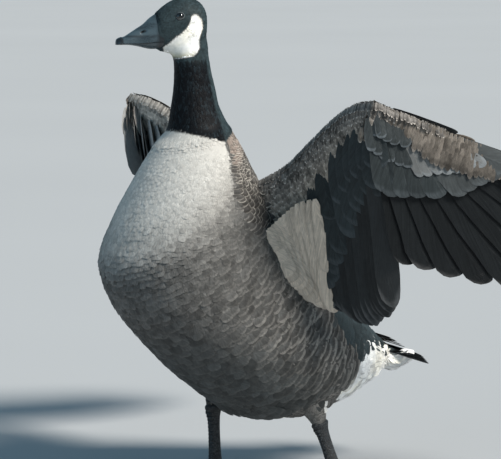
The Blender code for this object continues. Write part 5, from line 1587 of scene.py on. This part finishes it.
def add_studio():
    """The photo's view of the bird, a floor, two soft lamps and a pale surround."""
    right = np.array([math.cos(AZIMUTH), math.sin(AZIMUTH), 0.0])
    front = np.array([math.sin(AZIMUTH), -math.cos(AZIMUTH), 0.0])
    view = bpy.data.cameras.new("camera")
    view.lens, view.sensor_width, view.clip_end = LENS, 36.0, 200.0
    bpy.context.scene.camera = aimed(
        "camera", view, front * math.cos(ELEVATION) + UP * math.sin(ELEVATION), DISTANCE)
    sun = bpy.data.lights.new("key", "SUN")
    sun.energy, sun.angle, sun.color = 5.1, math.radians(20), (1.0, 0.95, 0.88)
    aimed("key", sun, right * 0.82 + front * 0.60 + UP * 0.88, 0.0)
    fill = bpy.data.lights.new("fill", "AREA")
    fill.size, fill.energy, fill.color = 2.4, 9.5, (0.36, 0.70, 1.0)
    aimed("fill", fill, -right * 1.0 + front * 0.9 + UP * 0.35, 3.6)
    size = 60.0
    mesh = bpy.data.meshes.new("studio_floor")
    mesh.from_pydata([(-size, -size, 0), (size, -size, 0), (size, size, 0), (-size, size, 0)], [],
                     [(0, 1, 2, 3)])
    mesh.materials.append(floor_material("studio_floor"))
    new_object("studio_floor", mesh)
    world = bpy.data.worlds.new("studio")
    world.use_nodes = True
    background = world.node_tree.nodes["Background"]
    background.inputs["Color"].default_value = (0.46, 0.76, 1.0, 1.0)
    background.inputs["Strength"].default_value = 0.34
    bpy.context.scene.world = world
    bpy.context.scene.view_settings.view_transform = "Standard"


def dress_skin(mesh, lookup):
    """Store on the skin the same markings that its feathers carry."""
    points = coords(mesh)
    zone, bar = markings(points, *lookup.find(points))
    zone[(np.abs(points[:, 0]) > 0.125) | (points[:, 2] < 0.105)] = (0.0, 0.0, 0.85)
    write_attribute(mesh, "zone", zone)
    write_attribute(mesh, "bar", bar * 0.0)
    write_attribute(mesh, "vane", np.tile((0.5, 0.4, 0.5), (len(points), 1)))


def paint(mesh, outline, rng, ragged, lookup=None, above=0.0):
    """Give every point of a coat the markings of its own place, so edges run crisply across it."""
    points, per = coords(mesh), len(outline) * 3
    if lookup:
        place, angle = lookup.find(points)
    else:
        place, angle = np.full(len(points), float(THROAT)), np.zeros(len(points))
    zone, _ = markings(points, place, angle,
                       np.repeat(rng.normal(0.0, ragged, len(points) // per), per))
    old = read(mesh.attributes["zone"].data, "vector")
    write_attribute(mesh, "zone", np.where(points[:, 2:] > above, zone, old))


def build():
    """Make every visible piece of the bird."""
    coat = coat_material("body_feathers")
    velvet = coat_material("head_feathers", 0.7, 30.0, 0.3, 0.0003, 0.09)
    skin = make_skin(coat)
    lookup = TrunkMap()
    dress_skin(skin.data, lookup)
    finish_piece(skin, "body_plumage", "torso", "neck", "head", "tail", "shank_left", "shank_right",
                 "wing_left_arm", "wing_left_hand", "wing_right_arm", "wing_right_hand")
    ground, rng = Skin(skin.data), np.random.default_rng(7)

    def grown(name, slot, material, outline, plumes, columns=3):
        """A finished piece of plumage, as its mesh."""
        piece = feather_coat(name, material, outline, plumes, columns)
        finish_piece(piece, slot)
        return piece.data
    body = trunk_plumes(rng, ground, 1.0, 15.9)
    body = picked(body, (body["spot"][:, 1] >= 0.135) | (body["up"][:, 2] <= 0.1))
    shoulders = trunk_plumes(rng, ground, 6.0, 13.6, True)
    grown("coat_shoulders", "body_plumage", coat, ROUND_VANE, shoulders, 5)
    rear = body["spot"][:, 1] < 0.49
    grown("coat_rear", "body_plumage", coat, BODY_VANE, picked(body, rear))
    breast = grown("coat_breast", "body_plumage", coat, BODY_VANE, picked(body, ~rear))
    paint(breast, BODY_VANE, rng, 0.0008, lookup, 0.40)
    neck = trunk_plumes(rng, ground, 15.7, 19.9)
    neck = grown("coat_neck", "black_plumage", velvet, SMALL_VANE, neck)
    paint(neck, SMALL_VANE, rng, 0.0008, lookup)
    face = grown("coat_head", "black_plumage", velvet, SMALL_VANE, head_plumes(rng, ground))
    paint(face, SMALL_VANE, rng, 0.0005)
    make_wings(rng)
    shanks = Plumes(rng)
    shank_plumes(shanks, ground)
    grown("coat_shanks", "vent_plumage", coat, SMALL_VANE, shanks.arrays())
    make_tail(vane_material("tail_vanes", (0.010, 0.0105, 0.011), (0.022, 0.021, 0.021),
                            (0.02, 0.02, 0.02), 0.62), rng)
    iris, leather = eye_material("eye_iris"), leg_material("leg_leather")
    nails = horn_material("claw_horn", (0.012, 0.011, 0.010), (0.06, 0.055, 0.05), 0.35, 120.0)
    for side, sign in (("left", 1.0), ("right", -1.0)):
        make_eye(side, sign, iris)
    make_lids(horn_material("eyelid_skin", (0.10, 0.12, 0.125), (0.20, 0.23, 0.24), 0.5))
    make_bill(horn_material("bill_horn", (0.004, 0.005, 0.006), (0.042, 0.066, 0.080), 0.30,
                            45.0, 0.7, 0.6))
    for side, sign in (("left", 1.0), ("right", -1.0)):
        make_leg(side, sign, leather, nails)


add_studio()
build()
